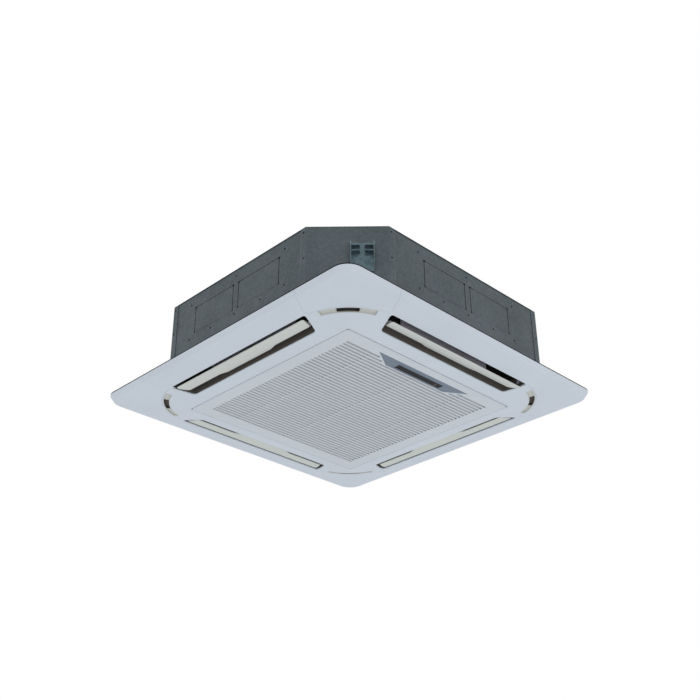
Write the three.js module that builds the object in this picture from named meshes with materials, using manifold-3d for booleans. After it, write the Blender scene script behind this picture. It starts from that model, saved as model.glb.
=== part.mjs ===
// Ceiling cassette air conditioner, millimetres, +Z up.
// The grille faces down: z = 0 is the flat underside of the grille and of the panel around it.
// Front is the -Y side (display), left is -X, right is +X, back is +Y (pipes at the back right corner).
import * as THREE from 'three';
import { mergeVertices, mergeGeometries } from 'three/addons/utils/BufferGeometryUtils.js';
import Module from 'manifold-3d';

const wasm = await Module();
wasm.setup();

// ---------- driving dimensions ----------
// decorative panel
const PANEL_HALF = 475;          // half of the square panel, measured at the ceiling
const LIP_HEIGHT = 14;           // height of the outer edge of the panel
const LIP_TAPER = 6.4;           // the lip leans inwards by this much towards its lower edge
const PANEL_DROP = 24;           // the middle of the panel hangs this far below its outer edge
const PANEL_SKIN = 3.6;          // wall of the moulded panel
const PANEL_CORNER_RADIUS = 42;
const OUTER_BAND = 69;           // sloping band from the panel edge in to the outlets
const SHOULDER_RADIUS = 156;     // the outer edges of the outlets run on round each corner in this arc
const SHOULDER_DROP = 9;         // drop of that line below the outer edge
const INNER_BAND = 27;           // from the outlets in to the flat middle of the panel
const PLATEAU_BAND = 12;         // flat band round the intake opening
const PLATEAU_RADIUS = 28;
const INTAKE_CORNER_RADIUS = 3;
const INTAKE_COLLAR = 20;        // upstand round the intake opening
// air outlets
const OUTLET_WIDTH = 61;
const OUTLET_CORNER_ROOM = 144;  // from the end of an outlet to the line of the next one
const OUTLET_SPLAY = 26;         // the inner edge is shorter than the outer edge by this at each end
const LEDGE_SETBACK = 97;        // from the end of the outlet to the end of its ledge
const LEDGE_DEPTH = 6;
// corner covers and finger slots
const COVER_STRIP = 4;           // strip of panel left between an outlet and the next cover
const COVER_SEAM_RISE = 6;       // the seam meets the outlet this far out from its edge
const COVER_SEAM_SPLAY = 34;     // the seam leans away from the outlet towards the panel edge
const FINGER_SLOT = 17;          // width of the slot inside each corner cover
const FINGER_SLOT_SPAN = 28;     // degrees to either side of the corner
const FINGER_HOLE_SPAN = 11;     // deep part of the slot, degrees to either side
const TRAY_WALL = 2.6;
// air vanes
const VANE_SETBACK = 36;         // the vane axis lies this far inside the outer edge of the outlet
const VANE_PIVOT_Z = 21;
const VANE_REACH = 22;           // from the axis to either long edge
const VANE_END_REACH = 14;       // shorter reach of the inner edge near the ends
const VANE_THICK = 2.4;
const VANE_OUT_GAP = 14;         // from the vane to each end of the outlet, along its outer edge
const VANE_IN_GAP = 1;           // and along its inner edge
const VANE_REST = [18, -6, -6, 4];  // opening angle at rest: front, right, back, left
const PIN_RADIUS = 2.2;
const MOTOR_CAN = 9.5;           // vane motor radius
const MOTOR_CAN_LONG = 20;
const RUN_GAP = 0.5;             // clearance between pieces that lie against each other
// intake grille
const GRILLE_GAP = 2;            // round the grille
const GRILLE_THICK = 4;
const GRILLE_RIM = 14;           // height of the stiffening wall behind the grille
const GRILLE_MARGIN = 39;        // plain border round the slots
const SLOT_COUNT = 42;
const SLOT_WIDTH_SHARE = 0.56;   // open share of one slot pitch
const RIB_PITCH = 172;           // wide ribs across the slots
const RIB_WIDTH = 8;
const RIB_HIGH = 10;
const HINGE_INSET = 4.5;         // hinge axis behind the front edge of the grille
const HINGE_Z = 3.6;
const HINGE_X = 225;
const HINGE_BAR = 1.8;
const LATCH_X = 29;
const LATCH_INSET = 13;
const FILTER_GAP = 14;           // from the filter to the edge of the grille
const FILTER_LOW = 15;
const FILTER_HIGH = 21;
// display on the front edge of the grille
const DISPLAY_OVERHANG = 13;     // the housing reaches this far past the slots
const DISPLAY_DEPTH = 37;
const DISPLAY_OUT_HALF = 169;
const DISPLAY_IN_HALF = 108;
const WINDOW_HALF = 84;
const WINDOW_DEPTH = 17;
const WINDOW_INSET = 14;         // from the outer edge of the housing
// steel casing
const PANEL_OVERHANG = 55;       // the panel reaches this far past the casing
const CASING_TOP = 254;
const CASING_LOW = 40;
const SHEET = 1.5;
const CORNER_CUT = [144, 109, 144, 165];  // front left, front right, back right, back left
const FLANGE = 17;               // return of the corner sheet over the side sheets
const KNOCKOUT = { width: 157, height: 77, middle: 89, low: 136, slit: 1.2, tab: 5 };
const HANGER = { half: 29, reach: 14, offset: [35.4, 35.4, 35.4, -35.4], top: 204, shelves: [174, 190], low: 122, slot: 12 };
// inside
const WALL_GAP = 4;              // foam parts stop this far inside the casing outline
const LINER = 12;
const PAN_LOW = 46;
const PAN_HIGH = 88;
const TROUGH_WALL = 4;           // between the trough and the air outlets
const TROUGH_WIDTH = 49;
const TROUGH_RIM = 17;           // inner rim of the trough
const TROUGH_FLOOR = 62;
const COIL_GAP = 3;              // from the coil to the outer wall of the trough
const COIL_DEPTH = 38;
const ROOF_GAP = 16;               // from the coil to the top sheet
const COIL_RADIUS = 58;
const COIL_SHORT_RIGHT = 106;    // the coil stops short of the back right corner on the right side
const COIL_SHORT_BACK = 133;     // and on the back side
const BEND_COUNT = 4;            // return bends shown on each end of the coil
const FAN_ROOM = 85;             // from the fan to the coil
const FAN_LOW = 100;
const FAN_ROOF = 30;             // from the fan to the top sheet
const HUB_DEPTH = 68;            // from the top of the fan down to its hub
const BLADES = 7;
const SHAFT_RADIUS = 6;
const MOTOR_RADIUS = 58;
const MOTOR_ROOF = 18;           // from the motor to the top sheet
const MOTOR_LONG = 66;
const MOUTH_ROOM = 71;           // from the wide end of the bell mouth to the opening in the pan
const MOUTH_FLARE = 48;          // from the throat of the bell mouth to its wide end
const MOUTH_Z = 42.6;
const EYE_OVERLAP = 12;          // the eye of the fan is wider than the throat by this
const CONTROL_HALF = 150;        // half length of the control box
const BOLT_INSET = 45.5;         // panel bolts, inside the arc of the corner slots
// pipes through the back right corner: radius, sideways offset and height
const GAS_LINE = { radius: 7.9, t: -36, z: 150 };
const LIQUID_LINE = { radius: 4.8, t: -24, z: CASING_TOP - 60 };
const DRAIN_LINE = { radius: 13.2, t: -62, z: 122 };
const LINE_REACH = 53;           // the pipes end this far outside the corner sheet
// inset from the corner of the trough, along the diagonal
const PUMP = { inset: 54.2, t: 20, radius: 24, low: 67, neck: 104, high: 158 };
const FLOAT = { inset: 70.2, t: -36, radius: 11 };

const ROOT = Math.SQRT2;
const RIM_Z = PANEL_DROP;                       // lower edge of the lip
const CEILING_Z = RIM_Z + LIP_HEIGHT;           // plane that lies against the ceiling
const SHOULDER_Z = PANEL_DROP - SHOULDER_DROP;
const SHOULDER_HALF = PANEL_HALF - OUTER_BAND;
const OUTLET_OUT = SHOULDER_HALF;               // outer edge of each outlet, from the centre
const OUTLET_IN = OUTLET_OUT - OUTLET_WIDTH;
const OUTLET_OUT_HALF = OUTLET_OUT - OUTLET_CORNER_ROOM;
const OUTLET_IN_HALF = OUTLET_OUT_HALF - OUTLET_SPLAY;
const LEDGE_HALF = OUTLET_OUT_HALF - LEDGE_SETBACK;
const PLATEAU_HALF = OUTLET_IN - INNER_BAND;    // flat middle of the panel
const INTAKE_HALF = PLATEAU_HALF - PLATEAU_BAND;  // square opening that takes the grille
const VANE_PIVOT_OUT = OUTLET_OUT - VANE_SETBACK;
const VANE_OUT_HALF = OUTLET_OUT_HALF - VANE_OUT_GAP;
const VANE_IN_HALF = OUTLET_IN_HALF - VANE_IN_GAP;
const GRILLE_HALF = INTAKE_HALF - GRILLE_GAP;
const SLOT_FIELD_HALF = GRILLE_HALF - GRILLE_MARGIN;
const HINGE_Y = HINGE_INSET - GRILLE_HALF;
const LATCH_Y = GRILLE_HALF - LATCH_INSET;
const FILTER_HALF = GRILLE_HALF - FILTER_GAP;
const DISPLAY_OUT_Y = -SLOT_FIELD_HALF - DISPLAY_OVERHANG;
const DISPLAY_IN_Y = DISPLAY_OUT_Y + DISPLAY_DEPTH;
const WINDOW_OUT_Y = DISPLAY_OUT_Y + WINDOW_INSET;
const WINDOW_IN_Y = WINDOW_OUT_Y + WINDOW_DEPTH;
const CASING_HALF = PANEL_HALF - PANEL_OVERHANG;
const TROUGH_OUT = OUTLET_IN - TROUGH_WALL;
const TROUGH_IN = TROUGH_OUT - TROUGH_WIDTH;
const PAN_HOLE_HALF = TROUGH_IN - TROUGH_RIM;
const COIL_OUT = TROUGH_OUT - COIL_GAP;
const COIL_IN = COIL_OUT - COIL_DEPTH;
const COIL_TOP = CASING_TOP - ROOF_GAP;
const BEND_PITCH = (COIL_TOP - TROUGH_FLOOR - 1) / 5;
const FAN_HIGH = CASING_TOP - FAN_ROOF;
const HUB_Z = FAN_HIGH - HUB_DEPTH;
const MOTOR_HIGH = CASING_TOP - MOTOR_ROOF;
const MOTOR_LOW = MOTOR_HIGH - MOTOR_LONG;
const COIL_END_RIGHT = COIL_OUT - COIL_SHORT_RIGHT;
const COIL_END_BACK = COIL_OUT - COIL_SHORT_BACK;
const FAN_RADIUS = COIL_IN - FAN_ROOM;
const MOUTH_RADIUS = PAN_HOLE_HALF - MOUTH_ROOM;
const THROAT_RADIUS = MOUTH_RADIUS - MOUTH_FLARE;
const FAN_EYE = THROAT_RADIUS + EYE_OVERLAP;
const CONTROL_OUT = PAN_HOLE_HALF - 3;          // the control box fits between the pan and the bell mouth
const CONTROL_IN = MOUTH_RADIUS + 10;
const ARC_CENTRE = SHOULDER_HALF - SHOULDER_RADIUS;  // of the arc round each corner, along X and Y
const BOLT_DISTANCE = ROOT * ARC_CENTRE + SHOULDER_RADIUS - BOLT_INSET;
const SLOPE = SHOULDER_Z / (SHOULDER_HALF - PLATEAU_HALF);
const SIDES = ['front', 'right', 'back', 'left'];
const CORNERS = ['front_left', 'front_right', 'back_right', 'back_left'];
const ROUND = 20;                // sides of the large round pieces
const rad = (degrees) => degrees * Math.PI / 180;

// ---------- finishes ----------
const finish = (color, roughness, metalness = 0) =>
  new THREE.MeshStandardMaterial({ color, roughness, metalness, flatShading: true });
const PANEL_WHITE = finish(0xe4e8ec, 0.5);
const GRILLE_WHITE = finish(0xdde2e7, 0.5);
const VANE_CREAM = finish(0xe9ece0, 0.45);
const GALVANISED = finish(0x8b949b, 0.45, 0.75);
const DARK_STEEL = finish(0x6d757b, 0.5, 0.7);
const FOAM_BLACK = finish(0x222426, 0.9);
const FILTER_GREY = finish(0x4d565c, 0.8);
const DISPLAY_METAL = finish(0x9fb0bc, 0.35, 0.4);
const GLOSS_BLACK = finish(0x15171a, 0.15);
const ALUMINIUM = finish(0xb9c0c6, 0.4, 0.8);
const COPPER = finish(0xb06a3c, 0.35, 0.9);
const BRASS = finish(0xb8924a, 0.35, 0.9);
const FAN_GREY = finish(0x9aa2a8, 0.6);
const RUBBER = finish(0x1c1c1d, 0.85);
const BOARD_GREEN = finish(0x2c6b45, 0.6);
const PUMP_PLASTIC = finish(0xcfd3cf, 0.55);
const FLOAT_ORANGE = finish(0xc9742c, 0.6);
const STEEL = finish(0xa9adb0, 0.35, 0.85);

// ---------- solids ----------
function signedVolume(position, index) {
  const a = new THREE.Vector3(), b = new THREE.Vector3(), c = new THREE.Vector3();
  let sum = 0;
  for (let i = 0; i < index.length; i += 3) {
    a.fromBufferAttribute(position, index[i]);
    b.fromBufferAttribute(position, index[i + 1]);
    c.fromBufferAttribute(position, index[i + 2]);
    sum += a.dot(b.cross(c));
  }
  return sum / 6;
}

// Weld the corners, drop collapsed triangles and turn the faces outwards.
function clean(geometry) {
  const bare = new THREE.BufferGeometry();
  bare.setAttribute('position', geometry.getAttribute('position'));
  if (geometry.index) bare.setIndex(geometry.index);
  const welded = mergeVertices(bare, 1e-3);
  const source = welded.index.array;
  const kept = [];
  for (let i = 0; i < source.length; i += 3) {
    const [p, q, r] = [source[i], source[i + 1], source[i + 2]];
    if (p !== q && q !== r && r !== p) kept.push(p, q, r);
  }
  if (signedVolume(welded.getAttribute('position'), kept) < 0) {
    for (let i = 0; i < kept.length; i += 3) [kept[i], kept[i + 1]] = [kept[i + 1], kept[i]];
  }
  welded.setIndex(kept);
  return welded;
}

function toManifold(geometry) {
  const tidy = clean(geometry);
  return new wasm.Manifold(new wasm.Mesh({
    numProp: 3,
    vertProperties: new Float32Array(tidy.getAttribute('position').array),
    triVerts: new Uint32Array(tidy.index.array),
  }));
}

function fromManifold(solid) {
  const mesh = solid.getMesh();
  const geometry = new THREE.BufferGeometry();
  geometry.setAttribute('position', new THREE.BufferAttribute(new Float32Array(mesh.vertProperties), 3));
  geometry.setIndex(new THREE.BufferAttribute(new Uint32Array(mesh.triVerts), 1));
  return geometry;
}

const join = (first, ...rest) =>
  fromManifold(rest.reduce((sum, piece) => sum.add(toManifold(piece)), toManifold(first)));
const cut = (first, ...tools) =>
  fromManifold(tools.reduce((left, tool) => left.subtract(toManifold(tool)), toManifold(first)));
const common = (first, second) => fromManifold(toManifold(first).intersect(toManifold(second)));
const together = (...pieces) => mergeGeometries(pieces.map(clean));

function prism(points, low, high, holes = []) {
  const shape = new THREE.Shape(points.map(([x, y]) => new THREE.Vector2(x, y)));
  for (const hole of holes) shape.holes.push(new THREE.Path(hole.map(([x, y]) => new THREE.Vector2(x, y))));
  const geometry = new THREE.ExtrudeGeometry(shape, { depth: high - low, bevelEnabled: false });
  return clean(geometry.translate(0, 0, low));
}

const rectangle = (x0, x1, y0, y1) => [[x0, y0], [x1, y0], [x1, y1], [x0, y1]];
const block = (x0, x1, y0, y1, z0, z1) => prism(rectangle(x0, x1, y0, y1), z0, z1);

function circle(radius, sides, x = 0, y = 0) {
  return Array.from({ length: sides }, (_, i) => {
    const angle = 2 * Math.PI * (i + 0.5) / sides;
    return [x + radius * Math.cos(angle), y + radius * Math.sin(angle)];
  });
}

const post = (radius, low, high, x = 0, y = 0, sides = 16) => prism(circle(radius, sides, x, y), low, high);

// A round bar along X.
function bar(radius, x0, x1, y, z, sides = 12) {
  return clean(post(radius, x0, x1, 0, 0, sides).rotateY(Math.PI / 2).translate(0, y, z));
}

// A closed profile of [radius, height] turned about the Z axis.
function revolve(profile, segments) {
  const points = [...profile, profile[0]].map(([r, z]) => new THREE.Vector2(r, z));
  return clean(new THREE.LatheGeometry(points, segments).rotateX(Math.PI / 2));
}

// A round tube or rod swept along a smooth curve through the points.
function sweep(points, radius, steps, sides = 8) {
  const curve = new THREE.CatmullRomCurve3(points.map((p) => new THREE.Vector3(...p)), false, 'centripetal');
  const shape = new THREE.Shape(circle(radius, sides).map(([x, y]) => new THREE.Vector2(x, y)));
  return clean(new THREE.ExtrudeGeometry(shape, { steps, extrudePath: curve, bevelEnabled: false }));
}

// A closed band through a list of closed loops with equal numbers of points.
function band(loops) {
  const count = loops[0].length;
  const index = [];
  loops.forEach((_, i) => {
    const next = (i + 1) % loops.length;
    for (let j = 0; j < count; j += 1) {
      const k = (j + 1) % count;
      index.push(i * count + j, next * count + j, next * count + k);
      index.push(i * count + j, next * count + k, i * count + k);
    }
  });
  const geometry = new THREE.BufferGeometry();
  geometry.setAttribute('position', new THREE.Float32BufferAttribute(loops.flat(2), 3));
  geometry.setIndex(index);
  return clean(geometry);
}

function roundedSquare(half, radius, z, steps = 4) {
  const points = [];
  for (let corner = 0; corner < 4; corner += 1) {
    const middle = rad(225 + 90 * corner);
    for (let i = 0; i <= steps; i += 1) {
      const angle = middle + rad(90 * i / steps - 45);
      points.push([
        ROOT * Math.cos(middle) * (half - radius) + radius * Math.cos(angle),
        ROOT * Math.sin(middle) * (half - radius) + radius * Math.sin(angle), z]);
    }
  }
  return points;
}

const flat = (loop) => loop.map(([x, y]) => [x, y]);
const turned = (geometry, degrees) => clean(geometry.clone().rotateZ(rad(degrees)));
const atSide = (geometry, side) => turned(geometry, 90 * side);
// Corner pieces are drawn looking along -Y and turned to face out of their corner.
const atCorner = (geometry, corner) => turned(geometry, 90 * corner - 45);
const cornerDistance = (corner) => (2 * CASING_HALF - CORNER_CUT[corner]) / ROOT;
const sideSpan = (side) => [-(CASING_HALF - CORNER_CUT[side]), CASING_HALF - CORNER_CUT[(side + 1) % 4]];

// Outline of the casing, moved inwards by the inset.
function casingOutline(inset) {
  const points = [];
  for (let side = 0; side < 4; side += 1) {
    const [from, to] = sideSpan(side);
    const trim = inset * Math.tan(rad(22.5));
    for (const u of [from + trim, to - trim]) {
      const spot = new THREE.Vector2(u, -(CASING_HALF - inset)).rotateAround(new THREE.Vector2(), rad(90 * side));
      points.push([spot.x, spot.y]);
    }
  }
  return points;
}

const outletShape = (spare = 0) => [
  [-OUTLET_OUT_HALF - spare, -OUTLET_OUT - spare], [OUTLET_OUT_HALF + spare, -OUTLET_OUT - spare],
  [OUTLET_IN_HALF + spare, -OUTLET_IN + spare], [-OUTLET_IN_HALF - spare, -OUTLET_IN + spare]];
const outletCutters = (low, high, spare = 0) =>
  SIDES.map((_, side) => atSide(prism(outletShape(spare), low, high), side));
const panelSurface = (distance) => Math.max(0, SHOULDER_Z - (SHOULDER_HALF - distance) * SLOPE);

// ---------- decorative panel ----------
const COLLAR_RADIUS = INTAKE_CORNER_RADIUS + PANEL_SKIN;

function panelShell() {
  const lipFoot = PANEL_HALF - LIP_TAPER;
  return band([
    roundedSquare(PANEL_HALF, PANEL_CORNER_RADIUS, CEILING_Z),
    roundedSquare(lipFoot, PANEL_CORNER_RADIUS, RIM_Z),
    roundedSquare(SHOULDER_HALF, SHOULDER_RADIUS, SHOULDER_Z),
    roundedSquare(PLATEAU_HALF, PLATEAU_RADIUS, 0),
    roundedSquare(INTAKE_HALF, INTAKE_CORNER_RADIUS, 0),
    roundedSquare(INTAKE_HALF, INTAKE_CORNER_RADIUS, INTAKE_COLLAR),
    roundedSquare(INTAKE_HALF + PANEL_SKIN, COLLAR_RADIUS, INTAKE_COLLAR),
    roundedSquare(INTAKE_HALF + PANEL_SKIN, COLLAR_RADIUS, PANEL_SKIN),
    roundedSquare(PLATEAU_HALF, PLATEAU_RADIUS, PANEL_SKIN),
    roundedSquare(SHOULDER_HALF, SHOULDER_RADIUS, SHOULDER_Z + PANEL_SKIN),
    roundedSquare(lipFoot - PANEL_SKIN, PANEL_CORNER_RADIUS, RIM_Z + PANEL_SKIN),
    roundedSquare(PANEL_HALF - PANEL_SKIN, PANEL_CORNER_RADIUS, CEILING_Z),
  ]);
}

// Half angle of the arc that a corner cover follows, from one outlet to the next.
const COVER_SPAN = 45 - Math.asin((OUTLET_OUT_HALF + COVER_STRIP - ARC_CENTRE) / SHOULDER_RADIUS) * 180 / Math.PI;

function cornerArc(radius, halfAngle, steps) {
  return Array.from({ length: steps + 1 }, (_, i) => {
    const angle = rad(225 - halfAngle + 2 * halfAngle * i / steps);
    return [-ARC_CENTRE + radius * Math.cos(angle), -ARC_CENTRE + radius * Math.sin(angle)];
  });
}

// Area outside the arc of one corner in plan, drawn for the front left corner and drawn in by the spare.
function coverArea(spare) {
  const reach = PANEL_HALF + 30;
  const inner = -OUTLET_OUT_HALF - COVER_STRIP - spare;
  const outer = inner - COVER_SEAM_SPLAY;
  const foot = -OUTLET_OUT - COVER_SEAM_RISE;
  return [
    [-reach, outer - COVER_SEAM_SPLAY / 2], [-PANEL_HALF, outer], [foot, inner],
    ...cornerArc(SHOULDER_RADIUS + spare, COVER_SPAN - spare / 2, 8),
    [inner, foot], [outer, -PANEL_HALF], [outer - COVER_SEAM_SPLAY / 2, -reach], [-reach, -reach]];
}

const sector = (inner, outer, halfAngle, low, high, steps = 5) =>
  prism([...cornerArc(outer, halfAngle, steps), ...cornerArc(inner, halfAngle, steps).reverse()], low, high);

const cornerCover = (corner) =>
  atSide(common(panelShell(), prism(coverArea(RUN_GAP), -1, CEILING_Z + 1)), corner);

// Shallow slot inside a corner cover, with a hole for a fingertip in its middle.
const SLOT_OUT = SHOULDER_RADIUS - TRAY_WALL - RUN_GAP;
const SLOT_IN = SLOT_OUT - FINGER_SLOT;
const slotTray = () => sector(SLOT_IN - TRAY_WALL, SLOT_OUT + TRAY_WALL, FINGER_SLOT_SPAN + 2,
  SHOULDER_Z - 2, SHOULDER_Z + 7);
const slotHollow = () => join(
  sector(SLOT_IN, SLOT_OUT, FINGER_SLOT_SPAN, -1, SHOULDER_Z + 5),
  sector(SLOT_IN, SLOT_OUT, FINGER_HOLE_SPAN, -1, CEILING_Z, 2));

// Ears of the panel frame that take the bolts into the casing.
function boltEar() {
  const heel = -BOLT_DISTANCE + 17;
  const ear = block(-16, 16, -BOLT_DISTANCE - 13, heel, 17, 21);
  const root = block(-16, 16, heel - 6, heel, PANEL_SKIN - 1, 21);
  return cut(join(ear, root), post(4.2, 0, 30, 0, -BOLT_DISTANCE, 10));
}

// Hooks that reach over the grille's wall from the collar and hold the hinge bars.
function hingeHooks() {
  const hooks = [];
  for (const middle of [-HINGE_X, HINGE_X]) {
    for (const x of [middle - 15, middle + 15]) {
      hooks.push(block(x - 4, x + 4, HINGE_Y - HINGE_BAR + 0.2, HINGE_Y + 2.5, HINGE_Z - HINGE_BAR + 0.1, INTAKE_COLLAR));
      hooks.push(block(x - 4, x + 4, -INTAKE_HALF - 1, HINGE_Y + 2.5, INTAKE_COLLAR - 4, INTAKE_COLLAR));
    }
  }
  return hooks;
}

const hingeBars = (radius) => [-HINGE_X, HINGE_X].map((x) => bar(radius, x - 22, x + 22, HINGE_Y, HINGE_Z, 10));

function vaneBearing() {
  const low = panelSurface(VANE_PIVOT_OUT - 6) + 1;
  const half = OUTLET_IN_HALF + 17;
  const body = block(-half - 5, -half, -VANE_PIVOT_OUT - 6, -VANE_PIVOT_OUT + 6, low, VANE_PIVOT_Z + 6);
  return cut(body, bar(PIN_RADIUS + 0.5, -half - 6, -half + 1, -VANE_PIVOT_OUT, VANE_PIVOT_Z, 8));
}

function outletLedge() {
  const high = SHOULDER_Z + PANEL_SKIN;
  return block(-LEDGE_HALF, LEDGE_HALF, -OUTLET_OUT - 4, -OUTLET_OUT + LEDGE_DEPTH, high - 1, high + 3);
}

function panelFrame() {
  const covers = CORNERS.map((_, corner) => atSide(prism(coverArea(0), -1, CEILING_Z + 1), corner));
  const opened = cut(panelShell(), ...covers, ...outletCutters(-1, CEILING_Z));
  const trays = CORNERS.map((_, corner) => atSide(slotTray(), corner));
  const hollows = CORNERS.map((_, corner) => atSide(slotHollow(), corner));
  const ears = CORNERS.map((_, corner) => atCorner(boltEar(), corner));
  const ends = SIDES.flatMap((_, side) => [atSide(vaneBearing(), side), atSide(outletLedge(), side)]);
  const body = cut(join(opened, ...trays), ...hollows);
  return join(body, ...ears, ...ends, ...hingeHooks(), ...hingeBars(HINGE_BAR));
}

const boltPocket = (reach, low, high) => CORNERS.map((_, corner) =>
  atCorner(block(-48, 48, -BOLT_DISTANCE - reach, -BOLT_DISTANCE + 19, low, high), corner));

function vaneMotorBody() {
  const start = OUTLET_IN_HALF + 16;
  const body = bar(MOTOR_CAN, start, start + MOTOR_CAN_LONG, -VANE_PIVOT_OUT, VANE_PIVOT_Z + 8, 12);
  const ear = block(start, start + 2, -VANE_PIVOT_OUT - 17, -VANE_PIVOT_OUT + 17,
    VANE_PIVOT_Z + 4, VANE_PIVOT_Z + 12);
  return join(body, ear);
}

// Room that the foam and the seal leave round a vane motor.
function vaneMotorRoom() {
  const start = OUTLET_IN_HALF + 15;
  return block(start, start + MOTOR_CAN_LONG + 2, -VANE_PIVOT_OUT - 18, -VANE_PIVOT_OUT + 18,
    VANE_PIVOT_Z - MOTOR_CAN + 7, VANE_PIVOT_Z + MOTOR_CAN + 9);
}

function panelFoam() {
  const skin = PANEL_SKIN + RUN_GAP;
  const top = CEILING_Z;
  const edge = CASING_HALF + 4;
  const radius = SHOULDER_RADIUS + edge - SHOULDER_HALF;
  const ring = band([
    roundedSquare(edge, radius, SHOULDER_Z + skin + (edge - SHOULDER_HALF) * 0.13),
    roundedSquare(SHOULDER_HALF, SHOULDER_RADIUS, SHOULDER_Z + skin),
    roundedSquare(PLATEAU_HALF, PLATEAU_RADIUS, skin),
    roundedSquare(INTAKE_HALF + PANEL_SKIN + 1, COLLAR_RADIUS + 1, skin),
    roundedSquare(INTAKE_HALF + PANEL_SKIN + 1, COLLAR_RADIUS + 1, top),
    roundedSquare(edge, radius, top),
  ]);
  const pockets = SIDES.flatMap((_, side) => [
    atSide(vaneMotorRoom(), side),
    atSide(bar(PIN_RADIUS + 1.2, -OUTLET_OUT_HALF, OUTLET_OUT_HALF, -VANE_PIVOT_OUT, VANE_PIVOT_Z, 6), side),
    atSide(block(-OUTLET_IN_HALF - 23, -OUTLET_IN_HALF - 16, -VANE_PIVOT_OUT - 7, -VANE_PIVOT_OUT + 7,
      0, VANE_PIVOT_Z + 7), side),
    atSide(sector(SLOT_IN - TRAY_WALL - 1, SHOULDER_RADIUS + 4, FINGER_SLOT_SPAN + 4, 0, SHOULDER_Z + 8, 4), side),
    atSide(block(-LEDGE_HALF - 1, LEDGE_HALF + 1, -OUTLET_OUT - 5, -OUTLET_OUT + 1, 0, SHOULDER_Z + 8), side)]);
  return cut(ring, ...outletCutters(-1, top + 1), ...boltPocket(18, -1, top + 1), ...pockets);
}

function panelSeal() {
  const hole = INTAKE_HALF + 6;
  const plate = prism(casingOutline(WALL_GAP), CEILING_Z + 0.4, PAN_LOW - 0.4,
    [rectangle(-hole, hole, -hole, hole).reverse()]);
  const motors = SIDES.map((_, side) => atSide(vaneMotorRoom(), side));
  return cut(plate, ...outletCutters(0, PAN_LOW), ...boltPocket(156, 0, PAN_LOW), ...motors);
}

function panelBolt(corner) {
  const bolt = join(
    post(7, 12.4, 16.7, 0, -BOLT_DISTANCE, 6), post(3.6, 14, 54, 0, -BOLT_DISTANCE, 6),
    post(7, 49.6, 53, 0, -BOLT_DISTANCE, 6));
  return atCorner(bolt, corner);
}

// ---------- vanes ----------
function vane(side) {
  const half = VANE_THICK / 2;
  const outline = [
    [-VANE_OUT_HALF, -VANE_REACH], [VANE_OUT_HALF, -VANE_REACH], [VANE_IN_HALF, VANE_END_REACH],
    [115, VANE_END_REACH], [85, VANE_REACH], [-85, VANE_REACH], [-115, VANE_END_REACH],
    [-VANE_IN_HALF, VANE_END_REACH]];
  const blade = prism(outline, -half, half);
  const stiffener = block(-VANE_IN_HALF + 4, VANE_IN_HALF - 4, -2, 2, 0, 4);
  const pins = bar(PIN_RADIUS, -OUTLET_IN_HALF - 20, OUTLET_IN_HALF + 15.5, 0, 0, 8);
  const whole = join(blade, stiffener, pins);
  whole.rotateX(rad(VANE_REST[side])).translate(0, -VANE_PIVOT_OUT, VANE_PIVOT_Z);
  return atSide(whole, side);
}

// ---------- intake grille ----------
function displayShape(spare) {
  return [
    [-DISPLAY_OUT_HALF - 3 * spare, DISPLAY_OUT_Y - spare],
    [DISPLAY_OUT_HALF + 3 * spare, DISPLAY_OUT_Y - spare],
    [DISPLAY_IN_HALF + spare, DISPLAY_IN_Y + spare], [-DISPLAY_IN_HALF - spare, DISPLAY_IN_Y + spare]];
}

// Slots run along X; those beside the display stop short of it.
function slotHoles() {
  const pitch = 2 * SLOT_FIELD_HALF / SLOT_COUNT;
  const guard = displayShape(3);
  const slant = (guard[1][0] - guard[2][0]) / (guard[2][1] - guard[1][1]);
  const holes = [];
  for (let i = 0; i < SLOT_COUNT; i += 1) {
    const y0 = -SLOT_FIELD_HALF + (i + (1 - SLOT_WIDTH_SHARE) / 2) * pitch;
    const y1 = y0 + SLOT_WIDTH_SHARE * pitch;
    const stop = y0 < guard[2][1] ? guard[2][0] + slant * (guard[2][1] - y0) : 0;
    if (stop) {
      holes.push(rectangle(-SLOT_FIELD_HALF, -stop, y0, y1), rectangle(stop, SLOT_FIELD_HALF, y0, y1));
    } else {
      holes.push(rectangle(-SLOT_FIELD_HALF, SLOT_FIELD_HALF, y0, y1));
    }
  }
  return holes;
}

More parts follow.
